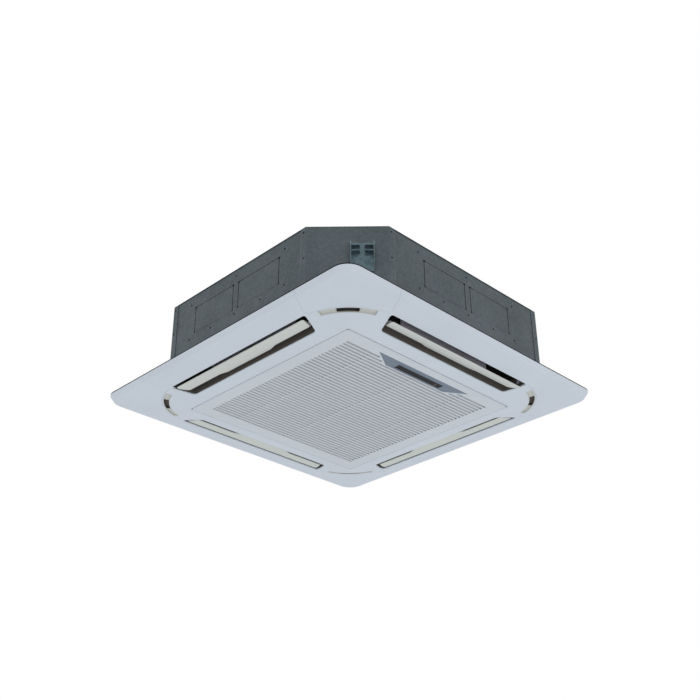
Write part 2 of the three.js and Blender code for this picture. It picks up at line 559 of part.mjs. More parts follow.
function intakeGrille() {
  const plate = prism(flat(roundedSquare(GRILLE_HALF, 9, 0, 3)), 0, GRILLE_THICK);
  const slots = together(...slotHoles().map((hole) => prism(hole, -1, GRILLE_THICK + 1)));
  const wall = prism(flat(roundedSquare(GRILLE_HALF - 1, 9, 0, 3)), GRILLE_THICK - 1, GRILLE_RIM,
    [flat(roundedSquare(GRILLE_HALF - 4, 6, 0, 3)).reverse()]);
  const seats = GRILLE_HALF - 21;
  const posts = [[-1, -1], [1, -1], [1, 1], [-1, 1], [-1, 0], [1, 0]].map(([x, y]) => block(
    x * seats - 6, x * seats + 6, y * seats - 6, y * seats + 6, GRILLE_THICK - 1, FILTER_LOW - 0.4));
  const knuckles = [-HINGE_X, HINGE_X].map((x) =>
    block(x - 10, x + 10, -GRILLE_HALF + 0.5, HINGE_Y + 4, 1, HINGE_Z + 4));
  const notches = [];
  for (const middle of [-HINGE_X, HINGE_X]) {
    for (const x of [middle - 15, middle + 15]) {
      notches.push(block(x - 4.8, x + 4.8, -GRILLE_HALF - 1, HINGE_Y + 8, 1, GRILLE_RIM + 1));
    }
    notches.push(block(middle - 10, middle + 10, -GRILLE_HALF - 1, HINGE_Y + 4, HINGE_Z + 4, GRILLE_RIM + 1));
  }
  const seat = post(9, GRILLE_THICK - 1, 12, LATCH_X, LATCH_Y, 12);
  const slotted = cut(plate, slots);
  const reach = GRILLE_HALF - 3;
  const ribs = [-RIB_PITCH, 0, RIB_PITCH].map((x) =>
    block(x - RIB_WIDTH / 2, x + RIB_WIDTH / 2, x ? -reach : DISPLAY_IN_Y + 6, reach, GRILLE_THICK, RIB_HIGH));
  const body = join(slotted, ...ribs, wall, seat, ...posts, ...knuckles);
  return cut(body, prism(displayShape(RUN_GAP), -1, GRILLE_RIM), ...notches, ...hingeBars(HINGE_BAR + 0.4),
    post(5.5, -1, 20, LATCH_X, LATCH_Y, 12));
}

function latchButton() {
  return join(post(5, 0.2, 10, LATCH_X, LATCH_Y, 12), post(3, 9, 13, LATCH_X, LATCH_Y, 12),
    post(6.6, 12.4, 14.2, LATCH_X, LATCH_Y, 12));
}

function airFilter() {
  const gap = 12;
  const cells = 4;
  const pitch = (2 * FILTER_HALF - gap) / cells;
  const holes = [];
  for (let i = 0; i < cells; i += 1) {
    for (let j = 0; j < cells; j += 1) {
      const x = -FILTER_HALF + gap + i * pitch;
      const y = -FILTER_HALF + gap + j * pitch;
      holes.push(block(x, x + pitch - gap, y, y + pitch - gap, 0, FILTER_HIGH + 1));
    }
  }
  const edge = FILTER_HALF;
  const frame = cut(block(-edge, edge, -edge, edge, FILTER_LOW, FILTER_HIGH), together(...holes));
  const inner = FILTER_HALF - 2;
  const net = block(-inner, inner, -inner, inner, FILTER_LOW + 2, FILTER_LOW + 3.2);
  return cut(join(frame, net), post(8.2, 0, FILTER_HIGH + 1, LATCH_X, LATCH_Y, 12));
}

function displayHousing() {
  const body = prism(displayShape(0), 0.2, 13);
  const window = block(-WINDOW_HALF - 0.4, WINDOW_HALF + 0.4, WINDOW_OUT_Y - 0.4, WINDOW_IN_Y + 0.4, -1, 2.6);
  return cut(body, window, block(-60, 60, WINDOW_OUT_Y + 2, WINDOW_IN_Y - 2, 6, 14));
}

// ---------- steel casing ----------
function knockoutSlits(middle) {
  const { width, height, low, slit, tab } = KNOCKOUT;
  const depth = [-CASING_HALF - 2, -CASING_HALF + 6];
  const across = (z) => block(middle - width / 2 + tab, middle + width / 2 - tab, ...depth, z, z + slit);
  const upright = (x) => block(x, x + slit, ...depth, low + tab, low + height - tab);
  return [across(low), across(low + height - slit), upright(middle - width / 2), upright(middle + width / 2 - slit)];
}

function sidePanel(side) {
  const [from, to] = sideSpan(side);
  const face = CASING_HALF - SHEET - 0.4;
  const wall = block(from + 1, to - 1, -face, -face + SHEET, CASING_LOW, CASING_TOP - SHEET - 0.4);
  const centre = (from + to) / 2;
  const slits = [-1, 1].flatMap((sign) => knockoutSlits(centre + sign * KNOCKOUT.middle));
  return atSide(cut(wall, ...slits), side);
}

// Corner sheet with a return over both neighbouring side sheets and a foot for the panel bolt.
function cornerPanel(corner) {
  const distance = cornerDistance(corner);
  const half = CORNER_CUT[corner] / ROOT;
  const leg = FLANGE / ROOT;
  const fold = SHEET * Math.tan(rad(22.5));
  const outline = [
    [-half - leg, -distance + leg], [-half, -distance], [half, -distance], [half + leg, -distance + leg],
    [half + leg - SHEET / ROOT, -distance + leg + SHEET / ROOT], [half - fold, -distance + SHEET],
    [-half + fold, -distance + SHEET], [-half - leg + SHEET / ROOT, -distance + leg + SHEET / ROOT]];
  const sheet = prism(outline, CASING_LOW, CASING_TOP - SHEET - 0.4);
  const foot = cut(block(-15, 15, -distance + 0.5, -BOLT_DISTANCE + 12, 47, 49),
    post(4, 40, 60, 0, -BOLT_DISTANCE, 10));
  let whole = join(sheet, foot);
  if (corner === 2) whole = cut(whole, block(-84, -8, -distance - 3, -distance + 4, 100, 215));
  return atCorner(whole, corner);
}

function casingTop() {
  const plate = prism(casingOutline(0), CASING_TOP - SHEET, CASING_TOP);
  const ridge = prism(circle(150, 24), CASING_TOP - SHEET, CASING_TOP + 4, [circle(140, 24).reverse()]);
  const ribs = [0, 1, 2, 3].map((turn) =>
    turned(block(170, CASING_HALF - 20, -8, 8, CASING_TOP - SHEET, CASING_TOP + 4), 90 * turn));
  return join(plate, ridge, ...ribs);
}

// Folded bracket whose two shelves are slotted for a hanging rod.
function hangerBracket(corner) {
  const distance = cornerDistance(corner);
  const { half, reach, top, low, shelves, slot } = HANGER;
  const back = -distance - 0.5;
  const front = -distance - reach;
  const wallAt = (x) => clean(prism([[back, low], [front + 5, low + 16], [front, low + 28], [front, top - 8],
    [front + 5, top], [back, top]], x, x + 2).rotateX(Math.PI / 2).rotateZ(Math.PI / 2));
  const plate = block(-half, half, back - 1.6, back, low, top);
  const seats = shelves.map((z) => cut(
    block(-half, half, front, back, z, z + 2.5),
    block(-slot / 2, slot / 2, front - 1, back - 0.8, z - 1, z + 4)));
  const groove = block(-slot / 2, slot / 2, back - 3, back - 0.8, shelves[0] - 1, top + 1);
  const whole = join(cut(plate, groove), wallAt(-half), wallAt(half - 2), ...seats);
  return atCorner(whole.translate(HANGER.offset[corner], 0, 0), corner);
}

// ---------- inside the casing ----------
function casingLiner() {
  const wall = prism(casingOutline(WALL_GAP), PAN_HIGH + 0.5, CASING_TOP - SHEET - 0.5,
    [casingOutline(WALL_GAP + LINER).reverse()]);
  const roof = prism(casingOutline(WALL_GAP), CASING_TOP - SHEET - 8, CASING_TOP - SHEET - 0.5,
    [circle(104, 20).reverse()]);
  const distance = cornerDistance(2);
  const passage = atCorner(block(-84, -8, -distance - 28, -distance + 42, 98, 217), 2);
  return cut(join(wall, roof), passage);
}

function drainPan() {
  const body = prism(casingOutline(WALL_GAP), PAN_LOW, PAN_HIGH,
    [rectangle(-PAN_HOLE_HALF, PAN_HOLE_HALF, -PAN_HOLE_HALF, PAN_HOLE_HALF).reverse()]);
  const trough = prism(rectangle(-TROUGH_OUT, TROUGH_OUT, -TROUGH_OUT, TROUGH_OUT), TROUGH_FLOOR, PAN_HIGH + 1,
    [rectangle(-TROUGH_IN, TROUGH_IN, -TROUGH_IN, TROUGH_IN).reverse()]);
  return cut(body, trough, ...outletCutters(0, PAN_HIGH + 1),
    ...CORNERS.map((_, corner) =>
      atCorner(block(-24, 24, -BOLT_DISTANCE - 156, -BOLT_DISTANCE + 12, 0, 60), corner)));
}

function bellMouth() {
  const edge = PAN_HOLE_HALF + 8;
  const plate = prism(rectangle(-edge, edge, -edge, edge), MOUTH_Z, MOUTH_Z + 3,
    [circle(MOUTH_RADIUS, ROUND).reverse()]);
  const wall = 2.5;
  const throat = revolve([
    [MOUTH_RADIUS + 6, MOUTH_Z], [MOUTH_RADIUS - 2, MOUTH_Z], [MOUTH_RADIUS - 24, 50],
    [THROAT_RADIUS + 7, 66], [THROAT_RADIUS, 84], [THROAT_RADIUS, 108], [THROAT_RADIUS + wall, 108],
    [THROAT_RADIUS + wall, 85], [THROAT_RADIUS + 9, 68], [MOUTH_RADIUS - 22, 53],
    [MOUTH_RADIUS + 6, 44]], ROUND);
  const hatch = block(-CONTROL_HALF - 0.5, CONTROL_HALF + 0.5, -CONTROL_OUT - 0.5, -CONTROL_IN + 0.5,
    MOUTH_Z - 1, MOUTH_Z + 4);
  return join(cut(plate, hatch), throat);
}

function coilOutline(half, radius, rightEnd, backEnd) {
  const points = [[half, rightEnd]];
  for (const corner of [1, 0, 3]) {
    const middle = rad(225 + 90 * corner);
    for (let i = 6; i >= 0; i -= 1) {
      const angle = middle + rad(15 * i - 45);
      points.push([
        ROOT * Math.cos(middle) * (half - radius) + radius * Math.cos(angle),
        ROOT * Math.sin(middle) * (half - radius) + radius * Math.sin(angle)]);
    }
  }
  points.push([backEnd, half]);
  return points;
}

function finBlock() {
  const thick = COIL_OUT - COIL_IN;
  const outline = [...coilOutline(COIL_OUT, COIL_RADIUS, COIL_END_RIGHT, COIL_END_BACK),
    ...coilOutline(COIL_IN, COIL_RADIUS - thick, COIL_END_RIGHT, COIL_END_BACK).reverse()];
  return prism(outline, TROUGH_FLOOR + 0.5, COIL_TOP);
}

function coilEndPlates() {
  const low = TROUGH_FLOOR + 0.5;
  return [
    block(COIL_IN - 2, COIL_OUT + 1, COIL_END_RIGHT - 1, COIL_END_RIGHT + 1, low, COIL_TOP + 2),
    block(COIL_END_BACK - 1, COIL_END_BACK + 1, COIL_IN - 2, COIL_OUT + 1, low, COIL_TOP + 2)];
}

function returnBends() {
  const across = COIL_IN + 10;
  const bends = [];
  for (let i = 0; i < BEND_COUNT; i += 1) {
    const z = 92 + i * BEND_PITCH;
    const up = BEND_PITCH * 0.6;
    const path = (end) => [[end - 1, z], [end + 9, z], [end + 15, z + up / 2], [end + 9, z + up], [end - 1, z + up]];
    bends.push(sweep(path(COIL_END_RIGHT).map(([y, h]) => [across, y, h]), 3.2, 6, 6));
    bends.push(sweep(path(COIL_END_BACK).map(([x, h]) => [x, across, h]), 3.2, 6, 6));
  }
  return bends;
}

const coil = () => join(finBlock(), ...coilEndPlates(), ...returnBends());

function header(x, y, low, high, radius) {
  return post(radius, low, high, x, y, 12);
}

// Point in the back right corner given by its distance out along the diagonal, sideways offset and height.
function backCorner(s, t, z) {
  return [(s - t) / ROOT, (s + t) / ROOT, z];
}

function linePipe({ radius, t, z }, heads, headerRadius) {
  const [hx, hy, low, high] = heads;
  const sheet = cornerDistance(2);
  const run = sweep([[hx, hy, z], backCorner(sheet - 48, t * 0.9, z), backCorner(sheet - 30, t, z),
    backCorner(sheet - 17, t, z), backCorner(sheet - 2, t, z), backCorner(sheet + LINE_REACH, t, z)], radius, 12, 8);
  return join(header(hx, hy, low, high, headerRadius), run);
}

const gasPipe = () => linePipe(GAS_LINE, [COIL_OUT - 11, COIL_END_RIGHT + 13, 90, COIL_TOP - 12], 9);
const liquidPipe = () => linePipe(LIQUID_LINE, [COIL_OUT - 14, COIL_END_RIGHT + 34, LIQUID_LINE.z - 24, COIL_TOP - 12], 5);

function pipeNut({ radius, t, z }) {
  const nut = cut(post(radius * 1.8, 0, 18, 0, 0, 6), post(radius + 0.6, -1, 19, 0, 0, 12));
  return clean(nut.rotateX(Math.PI / 2).translate(t, -cornerDistance(2) - 28, z));
}

const flareNut = (line) => atCorner(pipeNut(line), 2);

function pipeCover() {
  const distance = cornerDistance(2);
  const plate = block(-88, -4, -distance - 2.2, -distance - 0.5, 96, 219);
  const holes = [GAS_LINE, LIQUID_LINE, DRAIN_LINE].map(({ radius, t, z }) =>
    clean(post(radius + 0.9, -8, 8, 0, 0, 14).rotateX(Math.PI / 2).translate(t, -distance, z)));
  return atCorner(cut(plate, ...holes), 2);
}

// ---------- fan ----------
function fanBlade() {
  const count = 4;
  const outer = [];
  const inner = [];
  for (let i = 0; i <= count; i += 1) {
    const share = i / count;
    const radius = FAN_EYE - 30 + share * (FAN_RADIUS - FAN_EYE + 25);
    const angle = rad(-52 * share + 8 * Math.sin(Math.PI * share));
    const half = (1.2 + 3.2 * Math.sin(Math.PI * Math.min(1, share * 1.1))) / radius;
    outer.push([radius * Math.cos(angle + half), radius * Math.sin(angle + half)]);
    inner.push([radius * Math.cos(angle - half), radius * Math.sin(angle - half)]);
  }
  return prism([...inner, ...outer.reverse()], FAN_LOW + 9, FAN_HIGH - 1);
}

function fanImpeller() {
  const back = revolve([
    [SHAFT_RADIUS + 0.4, HUB_Z - 6], [20, HUB_Z - 6], [24, HUB_Z - 1], [68, HUB_Z + 3],
    [100, FAN_HIGH - 3], [FAN_RADIUS, FAN_HIGH - 3], [FAN_RADIUS, FAN_HIGH], [97, FAN_HIGH],
    [65, HUB_Z + 6], [SHAFT_RADIUS + 0.4, HUB_Z + 4]], ROUND);
  const shroud = revolve([
    [FAN_EYE, FAN_LOW], [FAN_EYE + 3, FAN_LOW], [FAN_EYE + 9, FAN_LOW + 9], [FAN_RADIUS, FAN_LOW + 15],
    [FAN_RADIUS, FAN_LOW + 18], [FAN_EYE + 7, FAN_LOW + 12]], ROUND);
  const blades = Array.from({ length: BLADES }, (_, i) => turned(fanBlade(), 360 * i / BLADES));
  const whole = join(back, shroud, ...blades);
  const room = post(FAN_EYE - 1, FAN_LOW - 10, FAN_LOW + 12, 0, 0, ROUND);
  return cut(whole, room);
}

const motorShaft = () => post(SHAFT_RADIUS, HUB_Z - 28, MOTOR_LOW - 0.5, 0, 0, 16);

function fanNut() {
  return prism(circle(12, 6), HUB_Z - 16, HUB_Z - 6.5, [circle(SHAFT_RADIUS + 0.4, 16).reverse()]);
}

const MOUNT_SPOTS = [45, 135, 225, 315];

function fanMotor() {
  const can = revolve([[0, MOTOR_LOW], [18, MOTOR_LOW], [22, MOTOR_LOW + 6], [MOTOR_RADIUS - 8, MOTOR_LOW + 6],
    [MOTOR_RADIUS, MOTOR_LOW + 14], [MOTOR_RADIUS, MOTOR_HIGH], [0, MOTOR_HIGH]], ROUND);
  const ears = MOUNT_SPOTS.map((angle) => turned(
    block(MOTOR_RADIUS - 18, MOTOR_RADIUS + 30, -10, 10, MOTOR_HIGH - 10, MOTOR_HIGH - 4), angle));
  const mounts = MOUNT_SPOTS.map((angle) =>
    turned(post(11, MOTOR_HIGH - 5, CASING_TOP - SHEET - 0.4, MOTOR_RADIUS + 19, 0, 8), angle));
  return join(can, ...ears, ...mounts);
}

// ---------- drain pump, float switch and pipes ----------
// Point in the corner of the trough beside the pipes.
const troughPoint = ({ inset, t }) => backCorner(ROOT * TROUGH_OUT - inset, t, 0);

function pumpBody() {
  const { radius, low, neck, high } = PUMP;
  const body = revolve([
    [7, low], [20, low], [20, neck - 4], [radius, neck], [radius, high - 4], [radius - 4, high], [0, high],
    [0, neck], [3.2, neck], [3.2, neck - 3], [16.5, neck - 3], [16.5, low + 3], [7, low + 3]], 16);
  const foot = block(-34, 34, -10, 10, neck + 4, neck + 8);
  const spout = turned(bar(6, 18, 36, 0, neck - 8, 8), 135);
  const bore = turned(bar(3.8, 10, 37, 0, neck - 8, 8), 135);
  const hollow = post(16.5, low + 3, neck - 3, 0, 0, 16);
  const legs = [15, 135, 255].map((angle) => turned(post(2.5, TROUGH_FLOOR + 0.4, low + 1, 16, 0, 6), angle));
  const whole = cut(join(body, ...legs, cut(spout, hollow), cut(foot, post(radius - 1, 0, 200))), bore);
  const [x, y] = troughPoint(PUMP);
  return whole.translate(x, y, 0);
}

function pumpImpeller() {
  const { low, neck } = PUMP;
  const disc = post(13, low + 6, low + 8.5, 0, 0, 16);
  const paddles = [0, 60, 120].map((angle) => turned(block(-12, 12, -1, 1, low + 8, neck - 7), angle));
  const [x, y] = troughPoint(PUMP);
  return join(disc, ...paddles, post(2.4, low + 6, neck - 0.6, 0, 0, 10)).translate(x, y, 0);
}

function drainHose() {
  const [x, y] = troughPoint(PUMP);
  const z = PUMP.neck - 8;
  const along = (reach) => [x - reach / ROOT, y + reach / ROOT, z];
  const { t } = DRAIN_LINE;
  const sheet = cornerDistance(2);
  const path = [along(36.5), along(44), along(52), [x - 42.5, y + 45.2, 114], [x - 38.5, y + 49.2, 152],
    [x - 26.5, y + 45.2, 196], backCorner(sheet - 40, 40, COIL_TOP - 16), backCorner(sheet - 36, 0, COIL_TOP - 9),
    backCorner(sheet - 36, -40, COIL_TOP - 12), backCorner(sheet - 36, t - 2, COIL_TOP - 33), backCorner(sheet - 36, t - 4, 162),
    backCorner(sheet - 31, t, 132), backCorner(sheet - 17, t, DRAIN_LINE.z), backCorner(sheet, t, DRAIN_LINE.z)];
  return sweep(path, 7.2, 28, 8);
}

function drainOutlet() {
  const face = cornerDistance(2) + 2.7;
  const { radius } = DRAIN_LINE;
  const profile = [[9, face - 2], [radius, face - 2], [radius, face], [radius + 6, face], [radius + 6, face + 2.5],
    [radius, face + 2.5], [radius, face + 18], [radius + 1.4, face + 20], [radius + 1.4, face + 40],
    [radius - 1, face + 45], [9, face + 45]];
  const spout = revolve(profile, 12);
  return atCorner(clean(spout.rotateX(Math.PI / 2).translate(DRAIN_LINE.t, 0, DRAIN_LINE.z)), 2);
}

function floatStem() {
  const [x, y] = troughPoint(FLOAT);
  return join(post(3, 65, 120, x, y, 8), post(8, 62.5, 65.5, x, y, 10), post(8, 96.5, 99, x, y, 10),
    block(x - 6, x + 6, y - 6, y + 6, 112, 128));
}

function floatBody() {
  const [x, y] = troughPoint(FLOAT);
  return prism(circle(FLOAT.radius, 12, x, y), 68, 84, [circle(3.6, 8, x, y).reverse()]);
}

// ---------- controls ----------
const CONTROL_Y = -(CONTROL_OUT + CONTROL_IN) / 2;
const controlBlock = (spare, low, high) => block(-CONTROL_HALF - spare, CONTROL_HALF + spare,
  -CONTROL_OUT - spare, -CONTROL_IN + spare, low, high);

const controlBox = () =>
  cut(controlBlock(0, MOUTH_Z + 0.5, 86), controlBlock(-1.6, MOUTH_Z - 1, 84.4));

const controlCover = () =>
  join(controlBlock(2.5, MOUTH_Z - 1.7, MOUTH_Z - 0.3), controlBlock(-2.4, MOUTH_Z - 0.5, MOUTH_Z + 3));

// Board with a few large components on its underside, on four posts.
function circuitBoard() {
  const reach = CONTROL_HALF - 10;
  const board = block(-reach, reach, CONTROL_Y - 23, CONTROL_Y + 23, 62, 63.6);
  const parts = [[-120, -90, -19, 11, 12], [-70, -44, -7, 17, 15], [-20, 30, -17, -1, 9],
    [60, 76, -13, 3, 14], [84, 100, -13, 3, 14], [110, 134, -19, 15, 16]];
  const legs = [[-1, -1], [1, -1], [-1, 1], [1, 1]].map(([x, y]) => block(
    x * (reach - 4) - 2.5, x * (reach - 4) + 2.5, CONTROL_Y + y * 19 - 2.5, CONTROL_Y + y * 19 + 2.5, 63, 84));
  return join(board, ...parts.map(([x0, x1, y0, y1, h]) =>
    block(x0, x1, CONTROL_Y + y0, CONTROL_Y + y1, 62.5 - h, 63)), ...legs);
}

// ---------- assembly ----------
const group = new THREE.Group();
group.name = 'ceiling_cassette_air_conditioner';

function add(name, geometry, material) {
  const tidy = clean(geometry);
  tidy.computeVertexNormals();
  const mesh = new THREE.Mesh(tidy, material);
  mesh.name = name;
  group.add(mesh);
}

add('casing_top', casingTop(), GALVANISED);
SIDES.forEach((name, side) => add(`side_panel_${name}`, sidePanel(side), GALVANISED));
CORNERS.forEach((name, corner) => {
  add(`corner_panel_${name}`, cornerPanel(corner), GALVANISED);
  add(`hanger_bracket_${name}`, hangerBracket(corner), GALVANISED);
  add(`corner_cover_${name}`, cornerCover(corner), PANEL_WHITE);
});
add('casing_liner', casingLiner(), FOAM_BLACK);
add('drain_pan', drainPan(), FOAM_BLACK);
add('bell_mouth', bellMouth(), FAN_GREY);
add('coil', coil(), ALUMINIUM);
add('gas_pipe', gasPipe(), COPPER);
add('liquid_pipe', liquidPipe(), COPPER);
add('flare_nut_gas', flareNut(GAS_LINE), BRASS);
add('flare_nut_liquid', flareNut(LIQUID_LINE), BRASS);
add('pipe_cover', pipeCover(), GALVANISED);
add('fan_impeller', fanImpeller(), FAN_GREY);
add('fan_nut', fanNut(), STEEL);
add('motor_shaft', motorShaft(), STEEL);
add('fan_motor', fanMotor(), DARK_STEEL);
add('pump_body', pumpBody(), PUMP_PLASTIC);
add('pump_impeller', pumpImpeller(), PUMP_PLASTIC);
add('drain_hose', drainHose(), RUBBER);
add('drain_outlet', drainOutlet(), PUMP_PLASTIC);
add('float_stem', floatStem(), PUMP_PLASTIC);
add('float_body', floatBody(), FLOAT_ORANGE);
add('control_box', controlBox(), GALVANISED);
add('control_cover', controlCover(), GALVANISED);
add('circuit_board', circuitBoard(), BOARD_GREEN);
add('panel_frame', panelFrame(), PANEL_WHITE);
add('panel_foam', panelFoam(), FOAM_BLACK);
add('panel_seal', panelSeal(), FOAM_BLACK);
CORNERS.forEach((name, corner) => add(`panel_bolt_${name}`, panelBolt(corner), STEEL));
SIDES.forEach((name, side) => {
  add(`vane_${name}`, vane(side), VANE_CREAM);
  add(`vane_motor_${name}`, atSide(vaneMotorBody(), side), PANEL_WHITE);
});
add('intake_grille', intakeGrille(), GRILLE_WHITE);
add('latch_button', latchButton(), PANEL_WHITE);
add('air_filter', airFilter(), FILTER_GREY);
add('display_housing', displayHousing(), DISPLAY_METAL);
add('display_window',
  block(-WINDOW_HALF, WINDOW_HALF, WINDOW_OUT_Y, WINDOW_IN_Y, 0.2, 2.2), GLOSS_BLACK);

export default group;
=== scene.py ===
"""Looks of a ceiling cassette air conditioner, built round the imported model.

Metres, +Z up, the display side faces -Y. Side pieces are drawn for the front side, with u along
the side and w outwards, and turned by quarter turns: front, right, back, left.
"""
import math

import bmesh
import bpy
import numpy as np
from mathutils import Matrix, Vector


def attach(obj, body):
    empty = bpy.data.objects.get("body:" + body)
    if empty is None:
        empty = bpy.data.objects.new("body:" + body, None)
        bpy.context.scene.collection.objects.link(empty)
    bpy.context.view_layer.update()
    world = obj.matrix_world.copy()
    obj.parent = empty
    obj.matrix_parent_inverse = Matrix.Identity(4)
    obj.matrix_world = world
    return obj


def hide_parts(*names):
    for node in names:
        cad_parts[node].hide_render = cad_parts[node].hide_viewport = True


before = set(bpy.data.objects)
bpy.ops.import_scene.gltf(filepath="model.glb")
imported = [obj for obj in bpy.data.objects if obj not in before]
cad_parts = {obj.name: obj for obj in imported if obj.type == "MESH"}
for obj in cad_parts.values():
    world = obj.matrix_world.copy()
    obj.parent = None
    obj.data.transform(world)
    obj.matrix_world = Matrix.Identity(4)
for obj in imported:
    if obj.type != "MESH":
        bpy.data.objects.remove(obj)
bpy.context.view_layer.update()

MM = 0.001
SIDES = ("front", "right", "back", "left")
CORNERS = ("front_left", "front_right", "back_right", "back_left")

# ---------- driving dimensions, millimetres ----------
PANEL_HALF = 475.0
CEILING_Z = 38.0
RIM_Z = 24.0
LIP_FOOT = 468.6
PANEL_CORNER = 42.0
SHOULDER = (406.0, 156.0, 15.0)      # half width, corner radius and height of the shoulder line
PLATEAU = (318.0, 28.0, 0.0)         # the same for the flat middle
LIP_LINE = (LIP_FOOT, PANEL_CORNER, RIM_Z)
LIP_ROUND = 3.0                      # radius of the lip's lower edge
INTAKE_HALF = 306.0
COLLAR_TOP = 20.0
PANEL_WALL = 3.0
OUTLET_OUT, OUTLET_IN = 406.0, 345.0
OUTLET_OUT_HALF, OUTLET_IN_HALF = 262.0, 236.0
OUTLET_ROUND = 9.0
GUIDE_HALF = 165.0
COVER_GAP = 0.25
SLOT_OUT, SLOT_IN = 152.9, 135.9     # radii of the finger slots about the centre of the corner arc
SLOT_CENTRE = SHOULDER[0] - SHOULDER[1]
SLOT_ANGLE, FINGER_ANGLE = 28.0, 11.0
SEAM_ANGLE = math.degrees(math.asin(16.0 / SHOULDER[1]))  # where the cover meets the outlet's end
SEAM_SHARE = math.cos(math.radians(SEAM_ANGLE))
VANE_OUT, VANE_Z = 370.0, 21.0
VANE_CLOSED = -6.0
VANE_REST = (18.0, -6.0, -6.0, 4.0)
VANE_DROP, VANE_SHIFT = 7.5, 8.0       # the closed blade hangs this far below and outside its axis
VANE_REACH, VANE_END_REACH, VANE_THICK = 22.0, 14.0, 2.4
VANE_OUT_HALF, VANE_IN_HALF = 248.0, 235.0
GRILLE_HALF, FIELD_HALF, SLOT_COUNT = 304.0, 265.0, 42
CATCH_X, CATCH_ROOM = 29.0, 10.0
WINDOW_Y = -255.5
SLAT_PITCH = 2 * FIELD_HALF / SLOT_COUNT
HINGE_Y, HINGE_Z, HINGE_X = -299.5, 3.6, 225.0
CASING_HALF, CASING_LOW, CASING_TOP = 420.0, 40.0, 254.0
SHEET_FACE = CASING_HALF - 1.9       # outside of the side sheets between the corner flanges
CORNER_CUT = (144.0, 109.0, 144.0, 165.0)
COIL_MID, COIL_HALF_DEPTH, COIL_LOW, COIL_TOP = 319.0, 19.0, 62.5, 238.0
COIL_TURN = 280.0                    # centre of the coil's corners
COIL_END_RIGHT, COIL_END_BACK = 232.0, 205.0
FAN_RADIUS, FAN_EYE, FAN_LOW, FAN_HIGH, HUB_Z = 215.0, 168.0, 100.0, 224.0, 156.0
BLADES = 7
MOUTH_RADIUS, THROAT_RADIUS, MOUTH_Z = 204.0, 156.0, 42.6
MOTOR_RADIUS, MOTOR_LOW, MOTOR_HIGH = 58.0, 170.0, 236.0
PIPE_SHEET = (2 * CASING_HALF - CORNER_CUT[2]) / math.sqrt(2)   # corner sheet that the pipes pass
GAS_PIPE, LIQUID_PIPE = (7.9, -36.0, 150.0), (4.8, -24.0, 194.0)  # radius, sideways, height
PUMP_S, PUMP_T, PUMP_NECK = math.sqrt(2) * 341.0 - 54.2, 20.0, 104.0


# ---------- mesh making ----------
def faces_of(rows, columns, wrap_rows=False, wrap_columns=False, keep=None):
    """Quads of a grid of rows x columns points, numbered row by row. keep is a boolean array
    of cells that leaves some quads out."""
    down = rows if wrap_rows else rows - 1
    across = columns if wrap_columns else columns - 1
    i, j = np.meshgrid(np.arange(down), np.arange(across), indexing="ij")
    if keep is not None:
        i, j = i[keep], j[keep]
    i, j = i.ravel(), j.ravel()
    i2, j2 = (i + 1) % rows, (j + 1) % columns
    return np.stack([i * columns + j, i * columns + j2, i2 * columns + j2, i2 * columns + j], 1)


def sheet(points, wrap_rows=False, wrap_columns=False, keep=None):
    """A surface from an array of points of shape (rows, columns, 3): one quad per cell."""
    rows, columns = points.shape[:2]
    return points.reshape(-1, 3), [faces_of(rows, columns, wrap_rows, wrap_columns, keep)]


def loft(loops):
    """A closed solid through closed loops of equal length, with a flat face on both ends."""
    loops = np.asarray(loops, float)
    rows, columns = loops.shape[:2]
    ends = np.stack([np.arange(columns)[::-1], (rows - 1) * columns + np.arange(columns)])
    return loops.reshape(-1, 3), [faces_of(rows, columns, wrap_columns=True), ends]


def box(x0, x1, y0, y1, z0, z1):
    """A block between two corners."""
    loop = np.array([[x0, y0], [x1, y0], [x1, y1], [x0, y1]], float)
    return loft([np.c_[loop, np.full(4, z)] for z in (z0, z1)])


def prism(outline, z0, z1):
    """An outline of [x, y] points carried from z0 to z1."""
    outline = np.asarray(outline, float)
    return loft([np.c_[outline, np.full(len(outline), z)] for z in (z0, z1)])


def revolve(profile, sides=72, centre=(0.0, 0.0)):
    """A closed profile of [radius, z] points turned about a vertical axis:
    (cx + r cos a, cy + r sin a, z)."""
    profile = np.asarray(profile, float)
    angle = np.linspace(0, 2 * np.pi, sides, endpoint=False)
    radius, z = profile[:, 0][:, None], profile[:, 1][:, None]
    points = np.stack([centre[0] + radius * np.cos(angle), centre[1] + radius * np.sin(angle),
                       z + 0 * angle], -1)
    return sheet(points, wrap_rows=True, wrap_columns=True)


def smooth_path(points, count):
    """A Catmull-Rom curve through the points, sampled at equal parameter steps."""
    p = np.asarray(points, float)
    p = np.vstack([2 * p[0] - p[1], p, 2 * p[-1] - p[-2]])
    t = np.linspace(0, len(p) - 3 - 1e-9, count)
    i = t.astype(int)
    f = (t - i)[:, None]
    a, b, c, d = p[i], p[i + 1], p[i + 2], p[i + 3]
    return 0.5 * (2 * b + (c - a) * f + (2 * a - 5 * b + 4 * c - d) * f**2
                  + (3 * b - a - 3 * c + d) * f**3)


